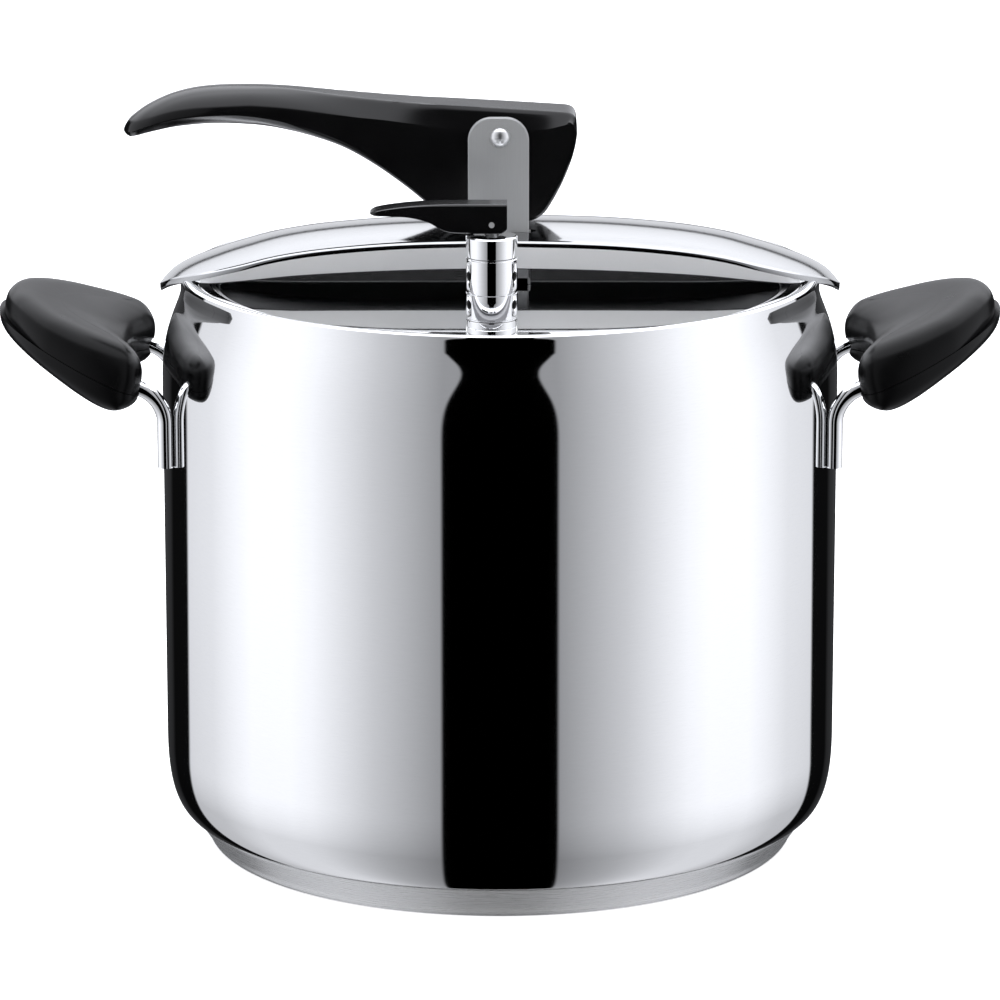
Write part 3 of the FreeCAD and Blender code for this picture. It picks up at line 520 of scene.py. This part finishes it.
def make_bridge():
    """Bridge strap with rolled edges, turned-down flanges and a tongue at each end."""
    stations = [BRIDGE_STRAIGHT_X * index / 26 for index in range(27)]
    reach = BRIDGE_TIP_X - BRIDGE_STRAIGHT_X
    stations += [BRIDGE_STRAIGHT_X + reach * math.sin(math.radians(90 * index / 44))
                 for index in range(1, 45)]
    # Closer together where the turned-down sides fade out.
    stations += [96.4, 97.2, 98.0, 98.8, 99.6]
    stations = sorted(set(stations))
    every = [-x for x in reversed(stations[1:])] + stations
    strap = skin("bridge_strap", [bridge_section(x) for x in every], cap_start=True, cap_end=True)
    slots = []
    for side in (-1, 1):
        slots.append(block("slot", (SLOT_X[0], side * SLOT_Y - SLOT_HALF, 198.0),
                           (SLOT_X[1], side * SLOT_Y + SLOT_HALF, 212.0)))
    cut(strap, slots)
    place(strap, BRIDGE_STEEL, "bridge_body", "polished_steel", "bridge")
    # The turned-down sides have a satin finish; the underside and the flanges' inner faces get near-black
    # steel as painted shade.
    strap.data.materials.append(FLANGE_SATIN)
    strap.data.materials.append(PAINTED_SHADE_STEEL)
    for polygon in strap.data.polygons:
        normal = polygon.normal
        inward = normal.y * polygon.center.y < 0 and abs(normal.y) > 0.5
        if normal.z < -0.3 or inward:
            polygon.material_index = 2
        elif abs(normal.y) > 0.9 and normal.z < 0.08:
            polygon.material_index = 1
    return strap


# ---------------------------------------------------------------- lever group

UPRIGHT_OUTER_Y = 14.5
UPRIGHT_INNER_Y = 12.5


def make_bracket():
    """Two satin uprights with round tops, joined by a foot on the lid."""
    half = 9.8
    top = 242.1
    foot = 187.75
    corner = 7.5
    shift = 0.5             # the uprights stand this far off the middle, away from the lever's rear
    bevel = 0.35
    outline = [(half, foot)]
    outline += arc((half - corner, top - corner), corner, 0, 90, 14)
    outline += arc((-half + corner, top - corner), corner, 90, 180, 14)
    outline += [(-half, foot)]
    pieces = []
    for side in (-1, 1):
        outer_y = side * UPRIGHT_OUTER_Y
        inner_y = side * UPRIGHT_INNER_Y
        loops = []
        # The bevel runs round the sides and the top, and not along the foot.
        for y, inset in ((outer_y, bevel), (outer_y - side * bevel, 0),
                         (inner_y + side * bevel, 0), (inner_y, bevel)):
            loops.append([(x * (1 - inset / half) - shift, y, z - inset * (z > foot + 20))
                          for x, z in outline])
        pieces.append(skin("upright", loops, cap_start=True, cap_end=True, sharp_degrees=25))
    pieces.append(block("foot", (-half, -UPRIGHT_OUTER_Y, foot), (half, UPRIGHT_OUTER_Y, foot + 2.0)))
    bracket = join("lever_uprights", pieces)
    return place(bracket, SATIN, "lid_body", "satin_steel", "lever_bracket")


def join(name, pieces):
    """Merge pieces into one object."""
    work = bmesh.new()
    for piece in pieces:
        work.from_mesh(piece.data)
    mesh = bpy.data.meshes.new(name)
    work.to_mesh(mesh)
    work.free()
    for piece in pieces:
        bpy.data.objects.remove(piece)
    made = bpy.data.objects.new(name, mesh)
    bpy.context.scene.collection.objects.link(made)
    mesh.set_sharp_from_angle(angle=math.radians(28))
    return made


def superellipse(power, count):
    """Points round a rounded rectangle of half-size one, as across and along."""
    points = []
    for index in range(count):
        turn = 2 * math.pi * (index + 0.5) / count
        cos, sin = math.cos(turn), math.sin(turn)
        scale = (abs(cos) ** power + abs(sin) ** power) ** (-1 / power)
        points.append((cos * scale, sin * scale))
    return points


LEVER_TIP_X = -121.5
LEVER_BODY_X = 20.0         # from here to its rear the outline is a round end
LEVER_REAR = (24.8, 236.6)
LEVER_TOP = smooth_table([(-121.5, 237.8), (-119, 240.2), (-114, 243.8), (-106, 247.5), (-97, 249.6),
                          (-85, 250.3), (-70, 249.9), (-50, 247.7), (-28, 245.7), (0, 244.1), (20, 242.9)])
LEVER_LOW = smooth_table([(-121.5, 233.9), (-119, 233.7), (-112, 235.5), (-104, 237.2), (-92, 238.3),
                          (-80, 237.9), (-70, 236.9), (-60, 234.8), (-50, 231.3), (-40, 225.6), (-30, 218.4),
                          (-22, 211.9), (-16, 208.0), (-10, 206.4), (4, 206.4), (10.5, 207.6),
                          (14.3, 209.9), (17.4, 214.6), (20, 219.6)])
LEVER_WIDTH = smooth_table([(-121.5, 5.0), (-119, 8.0), (-111, 11.8), (-95, 14.6), (-80, 14.2), (-60, 13.2),
                            (-30, 12.1), (0, 12.0), (25, 12.0)])
# Share of the half-width that stays flat on top, and the shares of the thickness by which the top's
# edge drops and the underside's edge rises, from paddle to body.
LEVER_FLAT = smooth_table([(-121.5, 0.0), (-80, 0.10), (-45, 0.48), (-20, 0.64), (25, 0.66)])
LEVER_SHOULDER = smooth_table([(-121.5, 0.62), (-85, 0.62), (-60, 0.46), (-35, 0.26), (0, 0.19),
                               (25, 0.19)])
LEVER_BELLY = smooth_table([(-121.5, 0.38), (-85, 0.38), (-60, 0.20), (-35, 0.06), (0, 0.04), (25, 0.04)])


def lever_runs():
    """Top and bottom outlines of the lever in side view, paired from its tip to its rear."""
    top = []
    low = []
    nose = 2.6
    steps = [nose * (1 - math.cos(math.radians(90 * index / 14))) for index in range(15)]
    xs = [LEVER_TIP_X + step for step in steps]
    start = xs[-1]
    xs += [start + (LEVER_BODY_X - start) * index / 150 for index in range(1, 151)]
    for x in xs:
        near = min((x - LEVER_TIP_X) / nose, 1.0)
        close = math.sqrt(max(1 - (1 - near) ** 2, 0.0))
        middle = (LEVER_TOP(x) + LEVER_LOW(x)) / 2
        half = (LEVER_TOP(x) - LEVER_LOW(x)) / 2 * close
        top.append((x, middle + half))
        low.append((x, middle - half))
    top += bezier(top[-1], (23.9, 242.7), (24.9, 241.6), LEVER_REAR, 30)
    low += bezier(low[-1], (22.2, 224.6), (24.6, 230.5), LEVER_REAR, 30)
    return top, low


def normals_of(run, outward):
    """Unit normals along a run, turned to the outward side."""
    found = []
    for index in range(len(run)):
        before = run[max(index - 1, 0)]
        after = run[min(index + 1, len(run) - 1)]
        along = Vector((after[0] - before[0], after[1] - before[1])).normalized()
        found.append(Vector((-along.y, along.x)) * outward)
    return found


def lever_loop(top, low, top_normal, low_normal):
    """Cross-section of the lever between a point of its top and one of its bottom."""
    x = (top[0] + low[0]) / 2
    nose = min(max((x - LEVER_TIP_X) / 5.0, 0.0), 1.0)
    half = LEVER_WIDTH(x) * math.sqrt(max(1 - (1 - nose) ** 2, 0.0))
    thick = math.hypot(top[0] - low[0], top[1] - low[1])
    flat = LEVER_FLAT(x)
    drop_top = min(LEVER_SHOULDER(x) * thick, 0.5 * thick if x > LEVER_BODY_X else thick)
    drop_low = min(LEVER_BELLY(x) * thick, 0.5 * thick)
    # The paddle's underside is round, the body's is flat with softened edges.
    paddle = min(max((-45 - x) / 35.0, 0.0), 1.0)
    power = 8.0 - 5.8 * paddle * paddle * (3 - 2 * paddle)
    # Towards its tip the section is upright, so that the tip's outline stays round.
    upright = min(max((-98 - x) / 14.0, 0.0), 1.0)
    top_normal = top_normal.lerp(Vector((0.0, 1.0)), upright)
    low_normal = low_normal.lerp(Vector((0.0, -1.0)), upright)
    across = [math.sin(math.radians(-90 + 180 * index / 40)) for index in range(41)]
    upper = []
    lower = []
    for share in across:
        edge = max(abs(share) - flat, 0.0) / (1 - flat)
        # The paddle is crowned; the body has a narrow flat top and sloping shoulders.
        crowned = 1 - math.sqrt(max(1 - edge * edge, 0.0))
        sloped = math.hypot(edge, 0.12) - 0.12
        fall = drop_top * (crowned * paddle + sloped * (1 - paddle))
        upper.append((top[0] - top_normal.x * fall, half * share, top[1] - top_normal.y * fall))
        rise = drop_low * abs(share) ** power
        lower.append((low[0] - low_normal.x * rise, half * share, low[1] - low_normal.y * rise))
    ring = upper
    for start, end, points in ((upper[-1], lower[-1], lower[::-1]), (lower[0], upper[0], [])):
        for index in range(1, 6):
            share = index / 6
            ring = ring + [tuple(a + (b - a) * share for a, b in zip(start, end))]
        ring = ring + points
    return ring


def make_main_lever():
    """Black clamping lever: a deep cam body that sweeps into a crowned paddle."""
    top, low = lever_runs()
    rows = zip(top, low, normals_of(top, 1), normals_of(low, -1))
    loops = [lever_loop(*row) for row in rows]
    lever = skin("clamp_lever", loops, sharp_degrees=34)
    return place(lever, LEVER_BLACK, "lever_body", "black_lever", "main_lever", "lever_bush")


def make_rivet():
    """Pin with a domed head on the outside of each upright."""
    loops = []
    head = [(0.05, -2.3), (1.3, -2.15), (2.35, -1.6), (3.05, -0.8), (3.3, -0.1), (3.3, 0.001)]
    shank_r = 2.5
    segments = 48
    run = [(r, -UPRIGHT_OUTER_Y + depth) for r, depth in head]
    run += [(shank_r, -14.4), (shank_r, 14.4)]
    run += [(r, UPRIGHT_OUTER_Y - depth) for r, depth in reversed(head)]
    for index in range(segments):
        turn = 2 * math.pi * index / segments
        loops.append([(PIVOT.x / MM + r * math.cos(turn), y, PIVOT.z / MM + r * math.sin(turn))
                      for r, y in run])
    rivet = skin("lever_rivet", loops, closed_ring=False, wrap=True, sharp_degrees=40)
    return place(rivet, RIVET_STEEL, "lid_body", "polished_steel", "lever_pin")


# ---------------------------------------------------------------- operating valve

VALVE_X = VALVE_PIN.x / MM
VALVE_Y = VALVE_PIN.y / MM
VALVE_R = 8.1
VENT_R = 1.5
VALVE_TOP_Z = 214.9


def make_valve_body():
    """Polished sleeve with a groove round its middle and round steam vents."""
    inner = 6.6
    profile = [(inner, 188.45), (VALVE_R - 0.25, 188.45), (VALVE_R - 0.25, 188.8), (VALVE_R, 189.05)]
    profile += [(VALVE_R, 196.7), (VALVE_R - 0.3, 196.9), (VALVE_R - 0.3, 197.1), (VALVE_R, 197.3)]
    profile += [(VALVE_R, 207.5), (VALVE_R - 0.3, 207.75), (VALVE_R - 0.3, 207.95), (inner, 207.95)]
    body = lathe("valve_sleeve", profile, 128, VALVE_X, VALVE_Y)
    holes = []
    for z in (193.5, 202.5):
        for degrees in (-118, -62, 62, 118):
            turn = math.radians(degrees)
            out = (math.sin(turn), -math.cos(turn))
            start = (VALVE_X + 3 * out[0], VALVE_Y + 3 * out[1], z)
            end = (VALVE_X + 12 * out[0], VALVE_Y + 12 * out[1], z)
            holes.append(rod_between("vent", start, end, VENT_R, 28))
    cut(body, holes)
    place(body, MIRROR, "lid_body", "polished_steel", "valve_body")
    # The bore and the vents get near-black steel as painted shade in these recesses.
    body.data.materials.append(PAINTED_SHADE_STEEL)
    for polygon in body.data.polygons:
        away = math.hypot(polygon.center.x / MM - VALVE_X, polygon.center.y / MM - VALVE_Y)
        if away < VALVE_R - 0.5:
            polygon.material_index = 1
    return body


def make_valve_cap():
    """Cap with a chamfered top edge and a dished hole for the stem."""
    profile = [(1.85, 214.6), (2.3, VALVE_TOP_Z), (7.2, VALVE_TOP_Z), (7.75, 214.75), (VALVE_R, 214.3),
               (VALVE_R, 208.35), (VALVE_R - 0.3, 208.1), (6.4, 208.05), (6.4, 206.2), (5.6, 206.0),
               (5.6, 212.5), (1.85, 212.5)]
    cap = lathe("valve_top_cap", profile, 128, VALVE_X, VALVE_Y)
    return place(cap, MIRROR, "lid_body", "polished_steel", "valve_cap")


def make_valve_foot():
    """Seat of the valve: the lip under the sleeve and the threaded spigot."""
    profile = [(1.6, 178.1), (3.6, 178.1), (3.9, 178.4), (3.9, 186.0), (VALVE_R - 0.3, 186.0),
               (VALVE_R, 186.3), (VALVE_R, 188.0), (VALVE_R - 0.2, 188.3), (6.4, 188.35), (6.4, 191.3),
               (5.0, 191.4), (3.6, 192.0), (1.6, 192.0)]
    foot = lathe("valve_foot", profile, 128, VALVE_X, VALVE_Y)
    return place(foot, MIRROR, "lid_body", "polished_steel", "valve_seat")


def make_valve_lever():
    """Small black lever: a block over the stem and a thin tapering arm."""
    top = smooth_table([(-40.4, 222.6), (-36, 223.6), (-28, 224.6), (-18, 225.15), (2.2, 225.2)])
    low = smooth_table([(-40.4, 221.7), (-34, 221.4), (-28, 221.0), (-22, 219.4), (-17.5, 216.8),
                        (-14, 216.1), (-1.0, 216.0), (2.2, 216.0)])
    tip_x = -40.4
    length = 42.6
    half_width = 5.0
    heel_r = 2.5
    loops = []
    for index in range(121):
        x = tip_x + length * index / 120
        high_z, low_z = top(x), low(x)
        nose = min((x + 40.6) / 2.2, 1.0)
        close = max(math.sqrt(max(1 - (1 - nose) ** 2, 0.0)), 0.05)
        # The bottom corner at the rear is round.
        heel = max(x, 0.0)
        low_z = low_z + heel_r - math.sqrt(max(heel_r ** 2 - min(heel, 2.4) ** 2, 0.0))
        middle, half = (high_z + low_z) / 2, (high_z - low_z) / 2
        loops.append([(x, VALVE_Y + half_width * across * close, middle + half * along * close)
                      for across, along in superellipse(16, 72)])
    lever = skin("valve_flip_lever", loops, cap_start=True, cap_end=True, sharp_degrees=40)
    slot_half = 2.05
    cut(lever, [block("stem_slot", (VALVE_X - 5.0, VALVE_Y - slot_half, 214.5),
                      (4.0, VALVE_Y + slot_half, 223.1))])
    return place(lever, LEVER_BLACK, "valve_lever_body", "black_lever", "valve_lever")


# ---------------------------------------------------------------- side handles

GRIP_PLAN = [(122.4, 0), (121.4, 14), (117.6, 27), (115.8, 35), (118.2, 42.4), (124, 45),
             (136, 42), (150, 32.5), (160, 17), (162.6, 0)]
# Full height of the upper shell and full depth of the lower one, over and under the grip's spine.
GRIP_TOP = smooth_table([(112, 168.4), (120, 171.0), (132, 176.5), (146, 182.8), (155, 186.4), (164, 188.0)])
GRIP_LOW = smooth_table([(112, 151.2), (118, 150.3), (125, 151.3), (134, 155.1), (145, 161.0), (155, 166.4),
                         (164, 171.0)])
GRIP_LEAN_UPPER = 0.32      # how far the inner ends lean towards the pot, for each mm of height
GRIP_LEAN_LOWER = 0.12
SEAM_SLOPE = math.tan(math.radians(25))
SEAM_HALF_GAP = 0.1


def seam_z(x):
    """Height of the seam between the two shells of a grip."""
    return 151.3 + (x - 105.0) * SEAM_SLOPE


def closed_curve(points, steps):
    """Smooth closed run through the points."""
    found = []
    count = len(points)
    for index in range(count):
        p0, p1, p2, p3 = [points[(index + offset) % count] for offset in (-1, 0, 1, 2)]
        for step in range(steps):
            t = step / steps
            place_at = []
            for a, b, c, d in zip(p0, p1, p2, p3):
                place_at.append(0.5 * (2 * b + (c - a) * t + (2 * a - 5 * b + 4 * c - d) * t * t
                                       + (3 * b - a - 3 * c + d) * t ** 3))
            found.append(tuple(place_at))
    return found


def grip_spine(y):
    """Point on the crescent line inside the grip that belongs to an edge point's Y."""
    along = y * 30.0 / 45.0
    return 143.0 - 17.0 * (along / 30.0) ** 2, along


def grip_shell_loops(side, upper):
    """Loops of one shell, from its edge along the seam to the line over its spine."""
    half = [tuple(map(float, point)) for point in GRIP_PLAN]
    outline = closed_curve(half + [(x, -y) for x, y in reversed(half[1:-1])], 12)
    reaches = [math.cos(math.radians(62 * step / 16)) ** (2 / 3) for step in range(17)]
    reaches += [reaches[-1] * (1 - step / 14) for step in range(1, 14)] + [0.02]
    loops = []
    for reach in reaches:
        lift = (1 - reach ** 3) ** (1 / 3)
        loop = []
        for x, y in outline:
            spine_x, spine_y = grip_spine(y)
            # The upper shell is a little shorter than the lower one at the outer end.
            ledge = 1.7 * min(max((x - 146) / 12, 0.0), 1.0) + 0.15 if upper else 0.0
            pull = 1 - ledge / math.hypot(x - spine_x, y - spine_y)
            px = spine_x + (x - spine_x) * reach * pull
            py = spine_y + (y - spine_y) * reach * pull
            base = seam_z(px)
            if upper:
                # A shallow hollow in the middle of its top.
                hollow = 1.4 * math.exp(-((px - 134) / 16) ** 2 - (py / 26) ** 2)
                pz = base + SEAM_HALF_GAP + (GRIP_TOP(px) - hollow - base) * lift
            else:
                pz = base - SEAM_HALF_GAP - (base - GRIP_LOW(px)) * lift
            # The ends of the crescent lean in towards the pot.
            inner = min(max((145 - px) / 25, 0.0), 1.0)
            lean = GRIP_LEAN_UPPER if upper else GRIP_LEAN_LOWER
            px -= (pz - base) * lean * inner * inner * (3 - 2 * inner)
            loop.append((side * px, py, pz))
        loops.append(loop)
    return loops


def make_grip(side, name, upper):
    """One shell of a grip: a pillow over the crescent outline, closed by its flat seam face."""
    loops = grip_shell_loops(side, upper)
    gap = SEAM_HALF_GAP if upper else -SEAM_HALF_GAP
    middle = []
    for point in loops[0]:
        spine_x, spine_y = grip_spine(point[1])
        middle.append((side * spine_x, spine_y, seam_z(spine_x) + gap))
    layer = "upper" if upper else "lower"
    shell = skin(f"{name}_{layer}_shell", [middle] + loops, sharp_degrees=55)
    close_zip(shell)
    return place(shell, GRIP_BLACK, "pot_body", "black_grip", f"{name}_grip_{layer}")


def close_zip(piece):
    """Join the two sides of a loop that has folded onto a line."""
    work = bmesh.new()
    work.from_mesh(piece.data)
    bmesh.ops.remove_doubles(work, verts=work.verts, dist=2e-5)
    bmesh.ops.holes_fill(work, edges=[edge for edge in work.edges if edge.is_boundary], sides=0)
    bmesh.ops.recalc_face_normals(work, faces=work.faces)
    work.to_mesh(piece.data)
    work.free()


# ---------------------------------------------------------------- stage

VIEW_TILT = math.radians(13.71)     # how far the camera looks down
VIEW_DISTANCE = 1.785
VIEW_AIM = (0.0, 0.0, 0.1126)
LENS = 195.7


def ramp(tree, value, stops):
    """Grey colour ramp through position, grey pairs."""
    node = tree.nodes.new("ShaderNodeValToRGB")
    elements = node.color_ramp.elements
    while len(elements) < len(stops):
        elements.new(0.5)
    for element, (position, grey) in zip(elements, stops):
        element.position = position
        element.color = (grey, grey, grey, 1)
    tree.links.new(value, node.inputs["Fac"])
    return node.outputs["Color"]


def math_node(tree, operation, first, second=None):
    """Math node on sockets or numbers."""
    node = tree.nodes.new("ShaderNodeMath")
    node.operation = operation
    for socket, value in zip(node.inputs, (first, second)):
        if value is None:
            continue
        if isinstance(value, (int, float)):
            socket.default_value = value
        else:
            tree.links.new(value, socket)
    return node.outputs["Value"]


def map_range(tree, value, low, high, to_low, to_high, smooth=False):
    """Map a value from one range to another, clamped."""
    node = tree.nodes.new("ShaderNodeMapRange")
    node.interpolation_type = "SMOOTHSTEP" if smooth else "LINEAR"
    for socket, number in (("From Min", low), ("From Max", high), ("To Min", to_low), ("To Max", to_high)):
        node.inputs[socket].default_value = number
    tree.links.new(value, node.inputs["Value"])
    return node.outputs["Result"]


def facing_direction(tree, ray):
    """Direction halfway between the ray and the way back to the front, and how far apart they are."""
    away = tree.nodes.new("ShaderNodeVectorMath")
    away.operation = "SUBTRACT"
    away.inputs[1].default_value = (0.0, math.cos(VIEW_TILT), -math.sin(VIEW_TILT))
    tree.links.new(ray, away.inputs[0])
    unit = tree.nodes.new("ShaderNodeVectorMath")
    unit.operation = "NORMALIZE"
    tree.links.new(away.outputs["Vector"], unit.inputs[0])
    split = tree.nodes.new("ShaderNodeSeparateXYZ")
    tree.links.new(unit.outputs["Vector"], split.inputs["Vector"])
    length = tree.nodes.new("ShaderNodeVectorMath")
    length.operation = "LENGTH"
    tree.links.new(away.outputs["Vector"], length.inputs[0])
    return split.outputs, length.outputs["Value"]


def make_world():
    """Studio as a fixed function of direction: side soft boxes, black card in front, dark wall behind."""
    world = bpy.data.worlds.new("studio")
    bpy.context.scene.world = world
    world.use_nodes = True
    tree = world.node_tree
    tree.nodes.clear()
    source = tree.nodes.new("ShaderNodeTexCoord")
    ray = tree.nodes.new("ShaderNodeSeparateXYZ")
    tree.links.new(source.outputs["Generated"], ray.inputs["Vector"])
    facing, apart = facing_direction(tree, source.outputs["Generated"])
    side = math_node(tree, "ABSOLUTE", facing["X"])
    front = math_node(tree, "MULTIPLY", facing["Y"], -1.0)
    turn = math_node(tree, "DIVIDE", math_node(tree, "ARCTAN2", side, front), math.pi / 2)
    tilt = facing["Z"]
    # Soft boxes round the sides: position is the turn from the front, over 90 degrees.
    # Low down they come a little further forward.
    lowness = map_range(tree, tilt, -1.0, 0.0, 1.0, 0.0)
    forward = math_node(tree, "MULTIPLY", math_node(tree, "POWER", lowness, 2.0), 0.9)
    boxes_turn = math_node(tree, "MULTIPLY", turn, math_node(tree, "ADD", forward, 1.0))
    boxes = ramp(tree, boxes_turn, [
        (0.0, 0.12), (0.11, 0.128), (0.16, 0.175), (0.24, 0.25), (0.32, 0.35), (0.37, 0.41), (0.42, 0.44),
        (0.52, 0.44), (0.57, 0.40), (0.64, 0.335), (0.74, 0.31), (0.748, 0.0015), (0.835, 0.0015),
        (0.86, 0.010), (0.93, 0.018), (1.0, 0.035)])
    # The black card in front is narrower higher up.
    narrowing = math_node(tree, "POWER", map_range(tree, tilt, 0.0, 0.40, 0.0, 1.0), 3.0)
    width = map_range(tree, narrowing, 0.0, 1.0, 0.1085, 0.068)
    beyond = math_node(tree, "SUBTRACT", turn, width)
    card = map_range(tree, beyond, -0.003, 0.003, 0.0, 1.0)
    # Low down the boxes are dimmer.
    dim = map_range(tree, tilt, -0.20, -0.01, 0.66, 1.0)
    walls = math_node(tree, "MULTIPLY", math_node(tree, "MULTIPLY", boxes, card), dim)
    # Overhead: position is the height of the ray, from a little below the horizon to straight up.
    height = map_range(tree, ray.outputs["Z"], -0.2, 1.0, 0.0, 1.0)
    overhead = ramp(tree, height, [
        (0.0, 0.36), (0.25, 0.36), (0.302, 0.30), (0.312, 0.006), (0.345, 0.006), (0.356, 0.48), (0.44, 0.60),
        (0.53, 0.72), (0.70, 0.72), (0.77, 1.0), (1.0, 1.0)])
    above = map_range(tree, tilt, 0.58, 0.66, 0.0, 1.0, smooth=True)
    mix = tree.nodes.new("ShaderNodeMix")
    mix.data_type = "RGBA"
    tree.links.new(above, mix.inputs["Factor"])
    tree.links.new(walls, mix.inputs["A"])
    tree.links.new(overhead, mix.inputs["B"])
    studio = tree.nodes.new("ShaderNodeBackground")
    studio.inputs["Strength"].default_value = 2.5
    # The daylight is a little cool.
    cool = tree.nodes.new("ShaderNodeMix")
    cool.data_type = "RGBA"
    cool.blend_type = "MULTIPLY"
    cool.inputs["Factor"].default_value = 1.0
    cool.inputs["B"].default_value = (0.985, 0.998, 1.05, 1)
    # Straight behind, where the facing direction isn't defined, there is a dark wall.
    behind = tree.nodes.new("ShaderNodeMix")
    behind.data_type = "RGBA"
    behind.inputs["B"].default_value = (0.004, 0.004, 0.004, 1)
    tree.links.new(map_range(tree, apart, 0.12, 0.20, 1.0, 0.0), behind.inputs["Factor"])
    tree.links.new(mix.outputs["Result"], behind.inputs["A"])
    tree.links.new(behind.outputs["Result"], cool.inputs["A"])
    tree.links.new(cool.outputs["Result"], studio.inputs["Color"])
    # The camera itself sees a plain white backdrop.
    backdrop = tree.nodes.new("ShaderNodeBackground")
    backdrop.inputs["Color"].default_value = (1, 1, 1, 1)
    path = tree.nodes.new("ShaderNodeLightPath")
    choose = tree.nodes.new("ShaderNodeMixShader")
    tree.links.new(path.outputs["Is Camera Ray"], choose.inputs["Fac"])
    tree.links.new(studio.outputs["Background"], choose.inputs[1])
    tree.links.new(backdrop.outputs["Background"], choose.inputs[2])
    output = tree.nodes.new("ShaderNodeOutputWorld")
    tree.links.new(choose.outputs["Shader"], output.inputs["Surface"])


def make_floor():
    """Plain pale floor that mirrors don't see and that throws no light back on the cooker."""
    reach = 3000.0
    floor = skin("floor", [[(-reach, -reach, 0), (reach, -reach, 0)],
                           [(-reach, reach, 0), (reach, reach, 0)]], closed_ring=False)
    made, _, shader = new_material("floor_paper", (0.93, 0.93, 0.93), 0.0, 0.9)
    shader.inputs["Emission Color"].default_value = (1, 1, 1, 1)
    shader.inputs["Emission Strength"].default_value = 0.55
    floor.data.materials.append(made)
    floor.visible_glossy = False
    floor.visible_diffuse = False


def add_light(name, place_at, aim, size, power):
    """Soft square light that mirrors don't see."""
    data = bpy.data.lights.new(name, "AREA")
    data.size = size
    data.energy = power
    lamp = bpy.data.objects.new(name, data)
    lamp.location = place_at
    lamp.rotation_euler = (Vector(aim) - Vector(place_at)).to_track_quat("-Z", "Y").to_euler()
    bpy.context.scene.collection.objects.link(lamp)
    lamp.visible_glossy = False


def make_camera():
    """Long lens in front of the cooker, a little above it."""
    data = bpy.data.cameras.new("camera")
    data.lens = LENS
    data.sensor_width = 36.0
    data.clip_end = 20.0
    camera = bpy.data.objects.new("camera", data)
    back = Vector((0.0, -math.cos(VIEW_TILT), math.sin(VIEW_TILT)))
    camera.location = Vector(VIEW_AIM) + back * VIEW_DISTANCE
    camera.rotation_euler = (-back).to_track_quat("-Z", "Y").to_euler()
    bpy.context.scene.collection.objects.link(camera)
    bpy.context.scene.camera = camera


def main():
    """Every piece, then the stage."""
    dress_cad_nodes()
    make_pot()
    make_base()
    make_lid()
    make_bridge()
    make_bracket()
    make_main_lever()
    make_rivet()
    make_valve_body()
    make_valve_cap()
    make_valve_foot()
    make_valve_lever()
    for side, name in ((1, "right"), (-1, "left")):
        make_grip(side, name, True)
        make_grip(side, name, False)
    make_world()
    make_floor()
    add_light("front_soft", (0.0, -1.5, 1.1), (0, 0, 0.15), 0.9, 22)
    add_light("low_soft", (0.0, -1.2, 0.05), (0, 0, 0.01), 0.3, 6)
    make_camera()
    bpy.context.scene.view_settings.view_transform = "Standard"


main()
